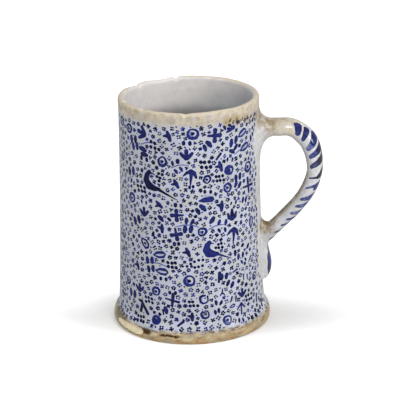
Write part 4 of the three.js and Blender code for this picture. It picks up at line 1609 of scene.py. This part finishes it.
class TANKARD_OT_upper_luting(bpy.types.Operator):
    """Works soft clay round the root of the strap, running out along wall and strap"""
    bl_idname = "tankard.upper_luting"
    bl_label = "Upper luting"

    steps = 26
    steps_in_wall = 2
    sides = 96

    def execute(self, context):
        tankard = context.scene.tankard
        body, sizes = tankard.body, tankard.strap
        root = strap_stations(body)[0]
        wall = wall_radius(body, root.height)
        sections = [self.section(i / self.steps, root, wall, body, sizes)
                    for i in range(-self.steps_in_wall, self.steps + 1)]
        bm = draw_tube(sections, self.sides, close_end=False)
        piece = mesh_object(bm, "upper_luting_clay", strap_material(tankard, painted=False))
        dress(piece, "strap_glaze", "upper_luting")
        return {"FINISHED"}

    def section(self, t, root, wall, body, sizes):
        """At t the collar has run t squared of its length along the strap. Below 0 it is in the wall."""
        slope_in_wall, least, flare_across, flare_up = 30 * MM, 0.12 * MM, 0.7 * MM, 0.6 * MM
        run = max(t, 0)
        spread = (1 - run) ** 2
        stand_off = sizes.collar_length * t * t if t > 0 else slope_in_wall * t
        cover = least * (1 - 2 * run)
        half_width = root.width / 2 + cover + sizes.collar_side * spread + flare_across * run**2
        half_depth = root.depth / 2 + cover + sizes.collar_spread * spread + flare_up * run**2
        power = 2 / (2 + (sizes.fullness - 2) * run)
        flatness = 1 - (1 - sizes.inner_flatness) * run

        def place(angle):
            across, up = math.cos(angle), math.sin(angle)
            y = half_width * squarer(across, power)
            z = half_depth * (1 if up > 0 else flatness) * squarer(up, power)
            fall_back = wall - math.sqrt(wall**2 - y**2)
            x = wall + stand_off - fall_back * (1 - run**2)
            height = root.height - sizes.collar_sag * spread + z
            return Vector((x + (wall_radius(body, height) - wall) * spread, y, height))

        return place


class TANKARD_OT_lower_luting(bpy.types.Operator):
    """Presses clay into the crook between wall and strap, as a saddle that dies away at its sides"""
    bl_idname = "tankard.lower_luting"
    bl_label = "Lower luting"

    steps = 36
    sides = 40
    arc_share = 0.7  # how much of the way round a section its hollow top takes

    def execute(self, context):
        tankard = context.scene.tankard
        body, sizes = tankard.body, tankard.strap
        stations = strap_stations(body)
        heel, seat = stations[HEEL], stations[SEAT]
        end = 0.02  # a part of a step that is left out at both ends, where the web would have no height
        sections = [self.section(2 * (i + end) / (self.steps + 2 * end) - 1, heel, seat, body, sizes)
                    for i in range(self.steps + 1)]
        bm = draw_tube(sections, self.sides, close_end=False)
        piece = mesh_object(bm, "lower_luting_clay", strap_material(tankard, painted=False))
        dress(piece, "stained_glaze", "lower_luting")
        return {"FINISHED"}

    def section(self, side, heel, seat, body, sizes):
        """At one distance across, from -1 to 1: an arc that touches wall and strap, closed inside them."""
        y = side * sizes.web_width / 2
        mid_wall = wall_radius(body, seat.height)
        wall = math.sqrt(mid_wall**2 - y**2)
        seat_at = Vector((mid_wall + seat.stand_off, seat.height))
        heel_at = Vector((wall_radius(body, heel.height) + heel.stand_off, heel.height))
        rise = (heel_at - seat_at).normalized()
        slope = math.atan2(rise.y, rise.x)
        edge = min(abs(y) / (seat.width / 2), 0.98)
        falloff = (1 - edge**sizes.fullness) ** (1 / sizes.fullness)
        inner_depth = heel.depth / 2 * sizes.inner_flatness * falloff
        face = seat_at + Vector((-rise.y, rise.x)) * inner_depth
        corner = Vector((wall, face.y - (face.x - wall) * math.tan(slope)))
        half = (math.pi / 2 - slope) / 2
        radius = sizes.web_radius * math.sqrt(1 - side**2) + 0.02 * MM
        centre = Vector((wall + radius, corner.y + radius / math.tan(half)))
        buried = corner - Vector((1.2 * MM, 1.6 * MM))

        def on_arc(bend):
            return centre + radius * Vector((math.cos(bend), math.sin(bend)))

        def place(angle):
            t = angle / TURN
            if t < self.arc_share:
                point = on_arc(slope - math.pi / 2 - (math.pi / 2 + slope) * t / self.arc_share)
            else:
                back = 2 * (t - self.arc_share) / (1 - self.arc_share)
                at_wall, at_strap = on_arc(math.pi), on_arc(slope - math.pi / 2)
                point = at_wall.lerp(buried, back) if back < 1 else buried.lerp(at_strap, back - 1)
            return Vector((point.x, y, point.y))

        return place


Lamp = namedtuple("Lamp", "name place size power")
# Soft round lamps, which all face one point inside the tankard
LAMPS = [
    Lamp("front", (0.4, -1.15, 1.45), 0.8, 12.5),
    Lamp("right", (1.2, -0.6, 0.6), 0.5, 5.4),
    Lamp("left", (-0.9, -0.3, 1.2), 0.5, 3),
]
LIT_POINT = Vector((0, 0, 0.08))
ROOM_LIGHT, BACKDROP_LIGHT = 0.4, 1.0


class TANKARD_OT_stage(bpy.types.Operator):
    """Sets the floor, the soft lamps and the camera at the photograph's place"""
    bl_idname = "tankard.stage"
    bl_label = "Stage"

    def execute(self, context):
        stage = context.scene.tankard.stage
        self.floor(stage)
        for lamp in LAMPS:
            self.lamp(lamp)
        self.room()
        self.camera(stage)
        context.scene.view_settings.view_transform = "Standard"
        return {"FINISHED"}

    def floor(self, stage):
        """A pale floor that the camera sees brighter than the light makes it, but less so under the foot."""
        bm = bmesh.new()
        bmesh.ops.create_grid(bm, x_segments=1, y_segments=1, size=4)
        material, shader, position = new_material("Pale floor")
        shadow_middle, shadow_shape = (10 * MM, 0, 0), (0.38, 1, 0)
        away = vector("MULTIPLY", vector("SUBTRACT", position, shadow_middle), shadow_shape)
        away = vector("LENGTH", away, out="Value")
        glow = ramp(away, 12 * MM, 74 * MM, stage.floor_glow, stage.backdrop_glow)
        seen = values_of(new_node(position.tree, "ShaderNodeLightPath"))["Is Camera Ray"]
        feed(shader["Base Color"], linear(stage.floor))
        feed(shader["Roughness"], 0.9)
        feed(shader["Specular IOR Level"], 0)
        feed(shader["Emission Strength"], seen * glow)
        feed(shader["Emission Color"], (1, 1, 1, 1))
        mesh_object(bm, "floor", material)

    def lamp(self, lamp):
        light = bpy.data.lights.new(lamp.name, "AREA")
        light.shape = "DISK"
        light.size = lamp.size
        light.energy = lamp.power
        made = bpy.data.objects.new(lamp.name, light)
        made.location = lamp.place
        made.rotation_euler = (LIT_POINT - Vector(lamp.place)).to_track_quat("-Z", "Y").to_euler()
        bpy.context.scene.collection.objects.link(made)

    def room(self):
        """An even light from all round, with a white backdrop for the camera."""
        world = bpy.data.worlds.new("Soft room")
        world.use_nodes = True
        backdrop = world.node_tree.nodes["Background"].inputs
        rays = values_of(new_node(world.node_tree, "ShaderNodeLightPath"))
        seen = calc("MAXIMUM", rays["Is Camera Ray"], rays["Is Transmission Ray"])
        feed(backdrop["Color"], (1, 1, 1, 1))
        feed(backdrop["Strength"], ramp(seen, 0, 1, ROOM_LIGHT, BACKDROP_LIGHT, smoothly=False))
        bpy.context.scene.world = world

    def camera(self, stage):
        made = bpy.data.cameras.new("photograph")
        made.lens = stage.lens
        made.sensor_width = SENSOR_WIDTH
        eye = bpy.data.objects.new("photograph", made)
        eye.matrix_world = camera_matrix(stage)
        bpy.context.scene.collection.objects.link(eye)
        bpy.context.scene.camera = eye


class TankardSettings(bpy.types.PropertyGroup):
    body: PointerProperty(type=BodySizes, name="Body")
    strap: PointerProperty(type=StrapSizes, name="Strap")
    painting: PointerProperty(type=PaintingSizes, name="Painting")
    colours: PointerProperty(type=GlazeColours, name="Colours")
    stage: PointerProperty(type=StageSettings, name="Stage")


OPERATORS = [TANKARD_OT_stage, TANKARD_OT_body, TANKARD_OT_handle, TANKARD_OT_upper_luting,
             TANKARD_OT_lower_luting]


class TANKARD_PT_panel(bpy.types.Panel):
    """Lists the pieces, the sizes and the colours"""
    bl_idname = "TANKARD_PT_panel"
    bl_label = "Tankard"
    bl_space_type = "VIEW_3D"
    bl_region_type = "UI"
    bl_category = "Tankard"

    def draw(self, context):
        for operator in OPERATORS:
            self.layout.operator(operator.bl_idname)
        tankard = context.scene.tankard
        for group in (tankard.body, tankard.strap, tankard.painting, tankard.colours, tankard.stage):
            box = self.layout.box()
            for name in group.bl_rna.properties.keys():
                if name not in ("rna_type", "name"):
                    box.prop(group, name)


CLASSES = [BodySizes, StrapSizes, PaintingSizes, GlazeColours, StageSettings, TankardSettings, *OPERATORS,
           TANKARD_PT_panel]


def register():
    for each in CLASSES:
        bpy.utils.register_class(each)
    bpy.types.Scene.tankard = PointerProperty(type=TankardSettings)


def unregister():
    del bpy.types.Scene.tankard
    for each in reversed(CLASSES):
        bpy.utils.unregister_class(each)


def main():
    register()
    bpy.ops.tankard.stage()
    bpy.ops.tankard.body()
    bpy.ops.tankard.handle()
    bpy.ops.tankard.upper_luting()
    bpy.ops.tankard.lower_luting()


if __name__ == "__main__":
    main()
